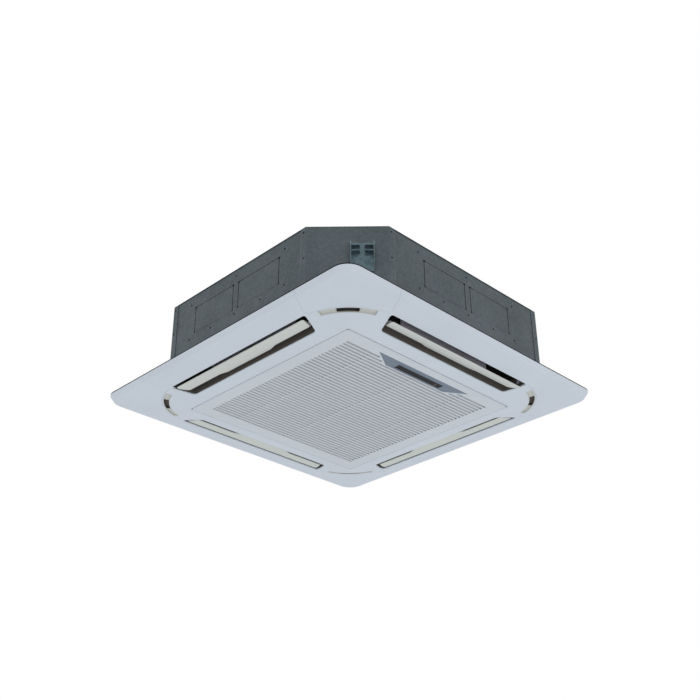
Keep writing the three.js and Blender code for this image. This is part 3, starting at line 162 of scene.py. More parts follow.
def tube(path, radius, sides=20):
    """A round section of radius (one value or one per point) carried along a path. The section
    lies in the plane of two vectors at right angles to the path's direction."""
    path = np.asarray(path, float)
    ahead = np.gradient(path, axis=0)
    ahead /= np.linalg.norm(ahead, axis=1)[:, None]
    across = np.empty_like(ahead)
    start = np.cross(ahead[0], [0.0, 0.0, 1.0])
    across[0] = start if np.linalg.norm(start) > 1e-3 else [1.0, 0.0, 0.0]
    for i in range(1, len(path)):
        across[i] = across[i - 1] - ahead[i] * np.dot(across[i - 1], ahead[i])
    across /= np.linalg.norm(across, axis=1)[:, None]
    up = np.cross(ahead, across)
    angle = np.linspace(0, 2 * np.pi, sides, endpoint=False)[None, :, None]
    radius = np.broadcast_to(np.asarray(radius, float), (len(path),))[:, None, None]
    loops = path[:, None] + radius * (np.cos(angle) * across[:, None] + np.sin(angle) * up[:, None])
    return loft(loops)


def placed(part, turn=0.0, shift=(0.0, 0.0, 0.0), tilt=0.0):
    """A part turned by tilt about X, then moved, then turned about Z, in degrees."""
    points, faces = part
    tilt_by = np.array(Matrix.Rotation(math.radians(tilt), 3, "X"))
    turn_by = np.array(Matrix.Rotation(math.radians(turn), 3, "Z"))
    return (points @ tilt_by.T + shift) @ turn_by.T, faces


def at_side(part, side):
    """A part drawn for the front side, turned to another side."""
    return placed(part, 90.0 * side)


def at_corner(part, corner):
    """Corner parts are drawn looking along -Y and turned to face out of their corner."""
    return placed(part, 90.0 * corner - 45.0)


def make(name, parts, material, body="unit", stands_for=(), slot=None,
         wall=0.0, round_by=0.0, segments=2, smooth=35.0):
    """One object from parts in millimetres. wall thickens open sheets inwards, round_by rounds
    the edges that are sharper than 30 degrees."""
    mesh = bpy.data.meshes.new(name)
    offset = 0
    points, loops, sizes = [], [], []
    for part_points, groups in parts:
        points.append(part_points)
        for group in groups:
            loops.append((group + offset).ravel())
            sizes.append(np.full(len(group), group.shape[1]))
        offset += len(part_points)
    points, loops, sizes = np.vstack(points) * MM, np.concatenate(loops), np.concatenate(sizes)
    mesh.vertices.add(len(points))
    mesh.vertices.foreach_set("co", points.astype(np.float32).ravel())
    mesh.loops.add(len(loops))
    mesh.loops.foreach_set("vertex_index", loops.astype(np.int32))
    mesh.polygons.add(len(sizes))
    mesh.polygons.foreach_set("loop_start", np.r_[0, np.cumsum(sizes)[:-1]].astype(np.int32))
    mesh.update(calc_edges=True)
    mesh.validate()
    work = bmesh.new()
    work.from_mesh(mesh)
    bmesh.ops.remove_doubles(work, verts=work.verts, dist=2e-6)
    bmesh.ops.dissolve_degenerate(work, edges=work.edges, dist=1e-6)
    bmesh.ops.recalc_face_normals(work, faces=work.faces)
    work.to_mesh(mesh)
    work.free()
    return finish(mesh, name, material, body, stands_for, slot, wall, round_by, segments, smooth)


def finish(mesh, name, material, body, stands_for, slot, wall, round_by, segments, smooth):
    """Turn a mesh into a piece: modifiers, finish, body and the CAD node that it stands for."""
    piece = bpy.data.objects.new(name, mesh)
    bpy.context.scene.collection.objects.link(piece)
    mesh.materials.append(material)
    mesh.shade_smooth()
    mesh.set_sharp_from_angle(angle=math.radians(smooth))
    if wall:
        thick = piece.modifiers.new("wall", "SOLIDIFY")
        thick.thickness, thick.offset, thick.use_even_offset = wall * MM, -1.0, True
    if round_by:
        add_bevel(piece, round_by, segments)
    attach(piece, body)
    if stands_for:
        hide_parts(*stands_for)
    return piece


def add_bevel(piece, width, segments):
    """Round the edges sharper than 30 degrees by a width in millimetres."""
    edge = piece.modifiers.new("edge", "BEVEL")
    edge.width, edge.segments = width * MM, segments
    edge.limit_method, edge.angle_limit = "ANGLE", math.radians(30)
    edge.harden_normals = True
    edge.use_clamp_overlap = True


# ---------- finishes ----------
PLASTIC_GRAIN = 1400.0               # scale of the noise that reads as spark-eroded grain


def tree(name):
    """A new material with its nodes, its links and its shader."""
    material = bpy.data.materials.new(name)
    material.use_nodes = True
    nodes = material.node_tree.nodes
    return material, nodes, material.node_tree.links, nodes["Principled BSDF"]


def linear(red, green, blue):
    """A colour of 0-255 values as the renderer's linear values."""
    share = np.array([red, green, blue]) / 255.0
    curve = np.where(share <= 0.04045, share / 12.92, ((share + 0.055) / 1.055) ** 2.4)
    return (*curve.tolist(), 1.0)


def coordinates(nodes, links, scale=(1.0, 1.0, 1.0)):
    """Object coordinates through a Mapping node."""
    where, mapping = nodes.new("ShaderNodeTexCoord"), nodes.new("ShaderNodeMapping")
    mapping.inputs["Scale"].default_value = scale
    links.new(where.outputs["Object"], mapping.inputs["Vector"])
    return mapping.outputs["Vector"]


def noise(nodes, links, vector, scale, detail=3.0):
    """Grey noise at a scale, finer with more detail."""
    texture = nodes.new("ShaderNodeTexNoise")
    texture.inputs["Scale"].default_value = scale
    texture.inputs["Detail"].default_value = detail
    links.new(vector, texture.inputs["Vector"])
    return texture.outputs["Fac"]


def ramp(nodes, links, source, stops):
    """Colours or grey values by position: stops is a list of (place, colour)."""
    scale = nodes.new("ShaderNodeValToRGB")
    elements = scale.color_ramp.elements
    while len(elements) < len(stops):
        elements.new(0.5)
    for element, (place, colour) in zip(elements, stops):
        element.position, element.color = place, colour
    links.new(source, scale.inputs["Fac"])
    return scale.outputs["Color"]


def grey(value):
    return (value, value, value, 1.0)


def shades(colour, down, up):
    """The same colour darker by down and lighter by up, as linear values."""
    return (linear(*[max(0, c - down) for c in colour]),
            linear(*[min(255, c + up) for c in colour]))


def bump(nodes, links, height, shader, strength, distance):
    """Relief from a height, in metres."""
    relief = nodes.new("ShaderNodeBump")
    relief.inputs["Strength"].default_value = strength
    relief.inputs["Distance"].default_value = distance
    links.new(height, relief.inputs["Height"])
    links.new(relief.outputs["Normal"], shader.inputs["Normal"])


def moulded(name, colour, spread=2, roughness=0.42, depth=0.00002, shine=0.5):
    """Injection moulded plastic: slow colour drift, fine spark-eroded grain, uneven gloss."""
    material, nodes, links, shader = tree(name)
    vector = coordinates(nodes, links)
    slow = noise(nodes, links, vector, 5.0, 2.0)
    darker, lighter = shades(colour, spread, spread)
    links.new(ramp(nodes, links, slow, [(0.3, darker), (0.7, lighter)]),
              shader.inputs["Base Color"])
    gloss = noise(nodes, links, vector, 60.0, 4.0)
    links.new(ramp(nodes, links, gloss, [(0.3, grey(roughness - 0.05)),
                                         (0.7, grey(roughness + 0.07))]),
              shader.inputs["Roughness"])
    shader.inputs["Specular IOR Level"].default_value = shine
    bump(nodes, links, noise(nodes, links, vector, PLASTIC_GRAIN, 2.0), shader, 0.25, depth)
    return material


def galvanised(name, dark, light, roughness=0.46, metallic=0.55):
    """Zinc coated sheet: crystals of a few millimetres in slightly different greys, slow rolling
    stains, and a faint relief at the crystal borders."""
    material, nodes, links, shader = tree(name)
    vector = coordinates(nodes, links)
    crystal = nodes.new("ShaderNodeTexVoronoi")
    crystal.inputs["Scale"].default_value = 150.0
    crystal.inputs["Randomness"].default_value = 1.0
    links.new(vector, crystal.inputs["Vector"])
    grain = nodes.new("ShaderNodeSeparateColor")
    links.new(crystal.outputs["Color"], grain.inputs["Color"])
    stain = noise(nodes, links, vector, 7.0, 5.0)
    blend = nodes.new("ShaderNodeMath")
    blend.operation = "MULTIPLY_ADD"
    blend.inputs[1].default_value = 0.28
    links.new(grain.outputs["Red"], blend.inputs[0])
    links.new(stain, blend.inputs[2])
    links.new(ramp(nodes, links, blend.outputs[0], [(0.35, linear(*dark)), (0.95, linear(*light))]),
              shader.inputs["Base Color"])
    links.new(ramp(nodes, links, grain.outputs["Green"],
                   [(0.0, grey(roughness - 0.08)), (1.0, grey(roughness + 0.1))]),
              shader.inputs["Roughness"])
    shader.inputs["Metallic"].default_value = metallic
    bump(nodes, links, crystal.outputs["Distance"], shader, 0.06, 0.0002)
    return material


def foam(name, colour, spread=6):
    """Closed-cell foam: small round cells in relief, matt."""
    material, nodes, links, shader = tree(name)
    vector = coordinates(nodes, links)
    cells = nodes.new("ShaderNodeTexVoronoi")
    cells.inputs["Scale"].default_value = 420.0
    links.new(vector, cells.inputs["Vector"])
    dark, light = shades(colour, spread, spread)
    links.new(ramp(nodes, links, cells.outputs["Distance"], [(0.0, light), (0.8, dark)]),
              shader.inputs["Base Color"])
    shader.inputs["Roughness"].default_value = 0.93
    bump(nodes, links, cells.outputs["Distance"], shader, 0.4, 0.0006)
    return material


def metal(name, colour, roughness=0.3, brush=(40.0, 40.0, 900.0)):
    """Drawn or turned metal: fine lines along one direction in gloss and relief."""
    material, nodes, links, shader = tree(name)
    vector = coordinates(nodes, links, brush)
    lines = noise(nodes, links, vector, 1.0, 3.0)
    dark, light = shades(colour, 16, 10)
    links.new(ramp(nodes, links, lines, [(0.3, dark), (0.7, light)]), shader.inputs["Base Color"])
    links.new(ramp(nodes, links, lines, [(0.25, grey(roughness)), (0.75, grey(roughness + 0.14))]),
              shader.inputs["Roughness"])
    shader.inputs["Metallic"].default_value = 0.95
    bump(nodes, links, lines, shader, 0.1, 0.0001)
    return material


PANEL_PLASTIC = moulded("panel_plastic", (222, 229, 238))
GRILLE_PLASTIC = moulded("grille_plastic", (219, 225, 231))
VANE_PLASTIC = moulded("vane_plastic", (220, 223, 217), roughness=0.38)
ZINC = galvanised("zinc_sheet", (85, 94, 98), (104, 113, 117))
ZINC_BRIGHT = galvanised("zinc_bracket", (84, 104, 112), (128, 146, 152), 0.36, metallic=0.7)
MOTOR_STEEL = galvanised("motor_steel", (72, 78, 83), (96, 102, 108), roughness=0.5)
BLACK_FOAM = foam("black_foam", (30, 30, 32))
FILTER_PLASTIC = moulded("filter_plastic", (74, 82, 88), spread=4, roughness=0.6)
DISPLAY_PAINT = moulded("display_paint", (124, 136, 152), spread=4, roughness=0.36, shine=0.3)
GLOSS_BLACK = moulded("gloss_black", (20, 20, 24), roughness=0.16, depth=0.000002, shine=0.14)
FIN_METAL = metal("fin_metal", (186, 192, 198), 0.32)
COPPER = metal("copper", (178, 108, 66), 0.26)
BRASS = metal("brass", (184, 146, 76), 0.24)
FAN_PLASTIC = moulded("fan_plastic", (150, 158, 164), spread=5, roughness=0.5)
RUBBER = moulded("rubber", (28, 28, 29), spread=3, roughness=0.72)
BOARD = moulded("board_lacquer", (34, 92, 58), spread=8, roughness=0.34)
PUMP_PLASTIC = moulded("pump_plastic", (200, 204, 199), spread=4, roughness=0.45)
FLOAT_PLASTIC = moulded("float_plastic", (198, 110, 44), spread=6, roughness=0.45)
BOLT_STEEL = metal("bolt_steel", (168, 172, 176), 0.28)
SCREW_BLACK = metal("screw_black", (58, 62, 66), 0.5)
# painted highlight: lighter zinc for strips that stand for light caught on folded and pressed edges
ZINC_PAINTED_HIGHLIGHT = galvanised("zinc_painted_highlight", (104, 112, 118), (142, 150, 154))
# painted shade: black for the dark seen through the knockout slits and corner holes
SLIT_PAINTED_SHADE = moulded("slit_painted_shade", (22, 23, 25), spread=3, roughness=0.8)
# painted shade: the grille's white plastic made grey on the louvres, for the shade inside the slots
LOUVRE_PAINTED_SHADE = moulded("louvre_painted_shade", (180, 183, 187))
# white plastic with a faint lavender tint, which is painted shade
DUCT_PLASTIC_SHADE_TINT = moulded("duct_plastic_shade_tint", (222, 220, 232))
DUCT_FOAM = foam("duct_foam", (96, 90, 84))
# painted light and shade: the panel's white plastic made cream and a little darker, for how the
# slot floor is lit
SLOT_PAINTED_LIGHT = moulded("slot_painted_light", (212, 213, 206))
EYE_GLASS = moulded("eye_glass", (74, 44, 44), roughness=0.2, depth=0.000002, shine=0.2)

NODE_FINISH = {name: finish for finish, names in (
    (ZINC, "casing_top pipe_cover control_box control_cover"),
    (BLACK_FOAM, "casing_liner drain_pan panel_seal"), (DUCT_FOAM, "panel_foam"),
    (FAN_PLASTIC, "bell_mouth fan_impeller"), (FIN_METAL, "coil"), (MOTOR_STEEL, "fan_motor"),
    (COPPER, "gas_pipe liquid_pipe"), (BRASS, "flare_nut_gas flare_nut_liquid"),
    (BOLT_STEEL, "fan_nut motor_shaft"), (RUBBER, "drain_hose"),
    (PUMP_PLASTIC, "pump_body pump_impeller drain_outlet float_stem"),
    (FLOAT_PLASTIC, "float_body"), (BOARD, "circuit_board"), (GRILLE_PLASTIC, "intake_grille"),
    (PANEL_PLASTIC, "panel_frame latch_button"), (FILTER_PLASTIC, "air_filter"),
    (DISPLAY_PAINT, "display_housing"), (GLOSS_BLACK, "display_window"),
) for name in names.split()}
for places, finishes in ((SIDES, {"side_panel_": ZINC, "vane_": VANE_PLASTIC,
                                  "vane_motor_": PANEL_PLASTIC}),
                         (CORNERS, {"corner_panel_": ZINC, "hanger_bracket_": ZINC_BRIGHT,
                                    "corner_cover_": PANEL_PLASTIC, "panel_bolt_": BOLT_STEEL})):
    NODE_FINISH.update({kind + place: finish for place in places
                        for kind, finish in finishes.items()})


def dress_cad_nodes():
    """Every CAD node gets its finish and slightly rounded edges; its own mesh stays as it is."""
    for name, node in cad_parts.items():
        node.data.materials.clear()
        node.data.materials.append(NODE_FINISH[name])
        weld = node.modifiers.new("weld", "WELD")
        weld.merge_threshold = 0.02 * MM
        add_bevel(node, 0.35, 1)


# ---------- decorative panel ----------
def contour_share(a, b, inner, outer):
    """Where a plan point (a, b in millimetres, both positive) lies between two rounded squares,
    0 on the inner one and 1 on the outer one. Half width h and corner radius r both grow
    linearly with the share t. On the straight stretch t = (max(a, b) - h0) / (h1 - h0); on a
    corner, (a - c)^2 + (b - c)^2 = r^2 with c = h - r gives a quadratic in t."""
    (h0, r0), (h1, r1) = inner[:2], outer[:2]
    straight = (np.maximum(a, b) - h0) / (h1 - h0)
    c0, dc, dr = h0 - r0, (h1 - r1) - (h0 - r0), r1 - r0
    p, q = a - c0, b - c0
    qa = 2 * dc * dc - dr * dr
    qb = -2 * dc * (p + q) - 2 * r0 * dr
    qc = p * p + q * q - r0 * r0
    root = np.sqrt(np.maximum(qb * qb - 4 * qa * qc, 0.0))
    first, second = (-qb + root) / (2 * qa), (-qb - root) / (2 * qa)
    centre = c0 + dc * straight
    on_corner = np.minimum(a, b) > centre
    bent = np.where(r0 + dr * first > 0, first, second)
    other = np.where(r0 + dr * second > 0, second, first)
    nearer = np.where(np.abs(bent - straight) < np.abs(other - straight), bent, other)
    return np.where(on_corner, nearer, straight)


def panel_height(x, y):
    """Height of the underside of the panel over a plan point: flat in the middle, rising to the
    shoulder line and on to the foot of the lip."""
    a, b = np.abs(x), np.abs(y)
    inner = contour_share(a, b, PLATEAU, SHOULDER)
    outer = contour_share(a, b, SHOULDER, LIP_LINE)
    rise = SHOULDER[2] * np.clip(inner, 0, 1)
    return np.where(inner < 1, rise, SHOULDER[2] + (RIM_Z - SHOULDER[2]) * np.clip(outer, 0, 1.05))


def lifted(x, y, above=0.0):
    """Plan points put on the underside of the panel."""
    return np.stack([x, y, panel_height(x, y) + above], -1)


def on_contour(half, radius, u):
    """Distance from the centre of the rounded square's edge at u along the side."""
    straight = half - radius
    past = np.clip(np.abs(u) - straight, 0.0, radius)
    return straight + np.sqrt(radius * radius - past * past)


def fillet(distance, radius):
    """How far a rounded corner reaches in at a distance from the edge it runs out on."""
    d = np.clip(radius - distance, 0.0, radius)
    return radius - np.sqrt(radius * radius - d * d)


def seam_place(w):
    """Where the seam between panel frame and corner cover lies along the side, at distance w: a
    ray of the corner arc's centre up to the shoulder line, then slanting away from the outlet."""
    ray = SLOT_CENTRE + (w - SLOT_CENTRE) * math.tan(math.radians(SEAM_ANGLE))
    slant = np.interp(w, [SHOULDER[0], 412.0, PANEL_HALF], [266.1, 267.0, 300.0])
    return np.where(w < SHOULDER[0], ray, slant)


def lip_loops():
    """Half width, corner radius and height of the loops that round the lip: a quarter turn from
    the sloping underside into the wall, the wall, and its upper edge."""
    turn = np.radians(np.linspace(8.0, 72.0, 6))
    half = LIP_FOOT - LIP_ROUND + LIP_ROUND * np.sin(turn) + 0.4
    height = RIM_Z + LIP_ROUND - LIP_ROUND * np.cos(turn) - 0.35
    wall = np.linspace(0.0, 1.0, 4)[1:]
    half = np.r_[half, half[-1] + (PANEL_HALF - half[-1]) * wall]
    height = np.r_[height, height[-1] + (CEILING_Z - height[-1]) * wall]
    radius = PANEL_CORNER + 0 * half
    return half, radius, height


def outer_band(columns):
    """From the shoulder line out to the lip and over it: rows of contours at the given share of
    the way from -seam to seam."""
    share = np.linspace(0.0, 1.0, 7)
    half = SHOULDER[0] + (LIP_FOOT - LIP_ROUND - SHOULDER[0]) * share
    radius = SHOULDER[1] + (PANEL_CORNER - SHOULDER[1]) * share
    lip_half, lip_radius, lip_z = lip_loops()
    half, radius = np.r_[half, lip_half], np.r_[radius, lip_radius]
    seam = seam_place(np.minimum(half, PANEL_HALF))
    u = seam[:, None] * columns[None, :]
    w = on_contour(half[:, None], radius[:, None], u)
    points = lifted(u, -w)
    points[len(share):, :, 2] = lip_z[:, None]
    return points


def bar_rows():
    """Distances of the rows between the outlets' inner and outer lines: close together where the
    outlets' corners are rounded, with a row at both radii of the finger slot."""
    bend = OUTLET_ROUND * (1 - np.cos(np.linspace(0, np.pi / 2, 8)))
    slot_in, slot_out = SLOT_CENTRE + SEAM_SHARE * np.array([SLOT_IN, SLOT_OUT])
    return np.unique(np.r_[OUTLET_IN + bend, np.linspace(OUTLET_IN + OUTLET_ROUND, slot_in, 8),
                           np.linspace(slot_in, OUTLET_OUT - OUTLET_ROUND, 4), slot_out,
                           OUTLET_OUT - bend].round(6))


def middle_piece(sign):
    """The bar of panel between an outlet's end and the corner cover. The outlet's end slants and
    is rounded at both edges."""
    w = bar_rows()
    v = (w - OUTLET_IN) / (OUTLET_OUT - OUTLET_IN)
    end = (OUTLET_IN_HALF + (OUTLET_OUT_HALF - OUTLET_IN_HALF) * v
           - fillet(w - OUTLET_IN, OUTLET_ROUND) - fillet(OUTLET_OUT - w, OUTLET_ROUND))
    seam = seam_place(w)
    c = np.linspace(0, 1, 7)[None, :]
    u = end[:, None] * (1 - c) + seam[:, None] * c
    edge = on_contour(SHOULDER[0], SHOULDER[1], u)
    distance = np.minimum(w[:, None] + 0 * u, edge)
    return lifted(sign * u, -distance)


def inner_band(columns):
    """From the inner edge of the outlets to the flat middle."""
    w = np.linspace(OUTLET_IN, PLATEAU[0], 6)[:, None]
    u = seam_place(OUTLET_IN) * columns[None, :] + 0 * w
    return lifted(u, -(w + 0 * u))


def corner_turned(points, corner):
    """Plan points drawn for the quarter where x and y are positive, moved to a corner."""
    quarter = np.array([2, 3, 0, 1])[corner] * 90.0
    turn = np.array(Matrix.Rotation(math.radians(quarter), 3, "Z"))
    return points @ turn.T


def corner_rays():
    """Directions from the centre of the corner arc, from seam to seam, with columns at the ends
    of the slot and of its finger hole. Returns the angles and the unit vectors."""
    bound = np.array([SEAM_ANGLE, 45 - SLOT_ANGLE, 45 - FINGER_ANGLE, 45 + FINGER_ANGLE,
                      45 + SLOT_ANGLE, 90 - SEAM_ANGLE])
    counts = [6, 8, 10, 8, 6]
    spans = [np.linspace(low, high, count + 1)[:-1]
             for low, high, count in zip(bound, bound[1:], counts)]
    theta = np.concatenate(spans + [bound[-1:]])
    angle = np.radians(90 - theta)
    return theta, np.stack([np.cos(angle), np.sin(angle)], -1)


def corner_field():
    """The panel's corner in plan: arcs about the corner centre from the cover's edge in to the
    outlets' inner line, then straight shares of the way to the corner of the flat middle."""
    theta, direction = corner_rays()
    radii = (bar_rows() - SLOT_CENTRE) / SEAM_SHARE
    radii = np.r_[SHOULDER[1], radii[radii < SHOULDER[1] - 0.01][::-1]]
    rows = [SLOT_CENTRE + radius * direction for radius in radii]
    seam = float(seam_place(OUTLET_IN))
    turn = np.radians(np.linspace(90, 0, 30))
    bend = PLATEAU[0] - PLATEAU[1] + PLATEAU[1] * np.stack([np.cos(turn), np.sin(turn)], -1)
    line = np.vstack([[[seam, PLATEAU[0]]], bend, [[PLATEAU[0], seam]]])
    length = np.r_[0, np.cumsum(np.linalg.norm(np.diff(line, axis=0), axis=1))]
    share = (theta - theta[0]) / (theta[-1] - theta[0]) * length[-1]
    flat = np.stack([np.interp(share, length, line[:, i]) for i in (0, 1)], -1)
    last = rows[-1]
    rows += [last + (flat - last) * t for t in np.linspace(0, 1, 6)[1:]]
    in_slot = (radii[1:] + radii[:-1]) / 2
    return theta, direction, np.array(rows), (in_slot < SLOT_OUT) & (in_slot > SLOT_IN)


def slot_tray(theta, direction):
    """The finger slot: down its inner wall, along a floor 5.6 mm deep and up its outer wall,
    open through the floor in its middle."""
    inside = np.abs(theta - 45) <= SLOT_ANGLE + 1e-6
    wall = np.array([[-0.3, 0.3], [-0.3, 0.8], [0.0, 4.0], [1.2, 5.6]])
    profile = np.vstack([wall + [SLOT_IN, 0.0], wall[::-1] * [-1, 1] + [SLOT_OUT, 0.0]])
    rays = direction[inside]
    base = lifted(*(SLOT_CENTRE + SLOT_IN * rays).T)[:, 2]
    top = lifted(*(SLOT_CENTRE + SLOT_OUT * rays).T)[:, 2]
    across = (profile[:, 0] - SLOT_IN) / (SLOT_OUT - SLOT_IN)
    ring = SLOT_CENTRE + profile[:, 0][:, None, None] * rays[None]
    z = base[None] + (top - base)[None] * across[:, None] + profile[:, 1][:, None]
    tray = np.concatenate([ring, z[..., None]], -1)
    middle = (theta[inside][:-1] + theta[inside][1:]) / 2
    keep = np.ones((len(profile) - 1, len(middle)), bool)
    keep[2:5, np.abs(middle - 45) < FINGER_ANGLE] = False
    parts = [sheet(tray, keep=keep)]
    for column in (0, -1):
        end = tray[:, column]
        parts.append((end, [np.arange(len(end))[None, ::(1 if column else -1)]]))
    return parts


def band_columns(edge, seam):
    """Columns of a band as shares of the way to the seam: 38 even steps along the outlet, and six
    to each seam past its rounded end."""
    end = np.linspace(edge, seam, 7)
    return np.r_[-end[::-1], np.linspace(-edge, edge, 41)[1:-1], end] / seam


def panel_frame_skin():
    """The moulded panel round grille and outlets, one wall thick, with its intake collar and the
    finger slots inside the corner covers."""
    columns = band_columns(OUTLET_OUT_HALF - OUTLET_ROUND, float(seam_place(SHOULDER[0])))
    columns_in = band_columns(OUTLET_IN_HALF - OUTLET_ROUND, float(seam_place(OUTLET_IN)))
    parts = []
    for side in range(4):
        parts += [at_side(sheet(p), side) for p in
                  (outer_band(columns), middle_piece(1), middle_piece(-1), inner_band(columns_in))]
    theta, direction, plan, in_slot = corner_field()
    keep = np.ones((len(plan) - 1, len(theta) - 1), bool)
    middle = (theta[:-1] + theta[1:]) / 2
    keep[:len(in_slot)] = ~(in_slot[:, None] & (np.abs(middle - 45) < SLOT_ANGLE))
    field = sheet(lifted(plan[..., 0], plan[..., 1]), keep=keep)
    parts += [(corner_turned(field[0], corner), field[1]) for corner in range(4)]
    # flat middle and the collar: rounded squares from the plateau edge inwards and up
    loops = [(PLATEAU[0], PLATEAU[1], 0.0), (312.0, 16.0, 0.0), (INTAKE_HALF + 1.0, 4.0, 0.0),
             (INTAKE_HALF + 0.3, 3.3, 0.3), (INTAKE_HALF, 3.0, 1.0), (INTAKE_HALF, 3.0, COLLAR_TOP)]
    parts.append(sheet(np.array([rounded_square(*loop) for loop in loops]), wrap_columns=True))
    return parts


def rounded_square(half, radius, z, steps=24):
    """Points of a rounded square, corner by corner."""
    angle = np.radians(np.linspace(0, 90, steps + 1))
    corner = half - radius + radius * np.stack([np.cos(angle), np.sin(angle)], -1)
    turns = [corner @ np.array([[math.cos(a), math.sin(a)], [-math.sin(a), math.cos(a)]])
             for a in np.radians([0, 90, 180, 270])]
    plan = np.vstack(turns)
    return np.c_[plan, np.full(len(plan), z)]


def panel_details():
    """Vane bearings, bolt ears, and the hooks and bars that the grille swings on."""
    parts = []
    for side in range(4):
        for sign in (-1, 1):
            parts.append(at_side(box(sign * 253.0, sign * 258.0, -376.0, -364.0, 10.9, 27.0), side))
    for corner in range(4):
        parts.append(at_corner(box(-16, 16, -477, -447, 17, 21), corner))
    for middle in (-HINGE_X, HINGE_X):
        for x in (middle - 15, middle + 15):
            parts.append(box(x - 4, x + 4, HINGE_Y - 2.1, HINGE_Y + 2.5, 1.8, COLLAR_TOP))
            parts.append(box(x - 4, x + 4, -307, HINGE_Y + 2.5, 16, COLLAR_TOP))
        path = [[middle + x, HINGE_Y, HINGE_Z] for x in (-22, 0, 22)]
        parts.append(tube(path, 1.8, 16))
    return parts


def duct_guides():
    """A pale guide plate on the inner wall of every duct, with a rounded lower edge."""
    section = [[-345.6, 38.0], [-346.6, 36.8], [-348.2, 37.4], [-348.6, 39.0], [-348.6, 74.0],
               [-345.6, 76.0]]
    plate = loft([[[x, y, z] for y, z in section] for x in (-GUIDE_HALF, GUIDE_HALF)])
    return [at_side(plate, side) for side in range(4)]


def gap_strips():
    """Pale strips in the running gap between grille and panel, narrower at the hinges."""
    return [at_side(box(-301.0, 301.0, -306.2, inner, 1.4, 2.4), side)
            for side, inner in ((1, -304.5), (2, -304.5), (3, -304.5), (0, -305.3))]


def rim_gasket():
    """Foam strip on the upper edge of the lip, which closes against the ceiling."""
    loops = [rounded_square(PANEL_HALF - inset, PANEL_CORNER - inset, CEILING_Z + above)
             for inset, above in ((0.5, -0.4), (0.5, 3.4), (9.0, 3.4), (9.0, -0.4))]
    return [sheet(np.array(loops), wrap_rows=True, wrap_columns=True)]


def corner_cover_skin(corner):
    """A corner cover from the arc that the outlets' edges run out on, over the sloping band and
    round the lip. Every row is the part between the seams of one rounded square."""
    theta, direction = corner_rays()
    share = (theta - theta[0]) / (theta[-1] - theta[0])
    rows = [SLOT_CENTRE + (SHOULDER[1] + 2 * COVER_GAP) * direction]
    outs = np.linspace(0, 1, 7)[1:]
    lip_half, lip_radius, lip_z = lip_loops()
    half = np.r_[SHOULDER[0] + (LIP_FOOT - LIP_ROUND - SHOULDER[0]) * outs, lip_half]
    radius = np.r_[SHOULDER[1] + (PANEL_CORNER - SHOULDER[1]) * outs, lip_radius]
    for h, r in zip(half, radius):
        seam = float(seam_place(min(h, PANEL_HALF))) + 2 * COVER_GAP
        straight = h - r
        if seam >= straight:
            low = math.degrees(math.asin((seam - straight) / r))
            sweep = np.radians(90 - (low + (90 - 2 * low) * share))
            rows.append(straight + r * np.stack([np.cos(sweep), np.sin(sweep)], -1))
        else:
            arc_length = r * np.pi / 2
            run = straight - seam
            along = share * (2 * run + arc_length)
            turn = np.clip((along - run) / r, 0, np.pi / 2)
            x = np.minimum(seam + along, straight) + r * np.sin(turn)
            y = straight + r * np.cos(turn) - np.maximum(along - run - arc_length, 0)
            rows.append(np.stack([x, y], -1))
    plan = np.array(rows)
    points = lifted(plan[..., 0], plan[..., 1])
    points[-len(lip_z):, :, 2] = lip_z[:, None]
    return [(corner_turned(points.reshape(-1, 3), corner), sheet(points)[1])]


def add_panel():
    make("panel_frame_moulding", panel_frame_skin(), PANEL_PLASTIC, stands_for=("panel_frame",),
         slot="panel_white", wall=PANEL_WALL, round_by=0.3, smooth=28.0)
    trays = [(corner_turned(points, corner), faces)
             for corner in range(4) for points, faces in slot_tray(*corner_rays())]
    # the trays' cream tone is painted light and shade on the panel's white plastic
    make("finger_slot_trays", trays, SLOT_PAINTED_LIGHT, slot="panel_white", wall=1.6)
    # the guide plates' lavender tint is painted shade on white plastic
    make("duct_guides", duct_guides(), DUCT_PLASTIC_SHADE_TINT, slot="panel_white", round_by=0.3)
    make("gap_strips", gap_strips(), PANEL_PLASTIC, slot="panel_white")
    make("rim_gasket", rim_gasket(), BLACK_FOAM, slot="foam_black")
    make("panel_frame_details", panel_details(), PANEL_PLASTIC, slot="panel_white", round_by=0.4)
    for corner, name in enumerate(CORNERS):
        make("corner_cover_moulding_" + name, corner_cover_skin(corner), PANEL_PLASTIC,
             stands_for=("corner_cover_" + name,), slot="panel_white", wall=PANEL_WALL,
             round_by=0.3, smooth=28.0)


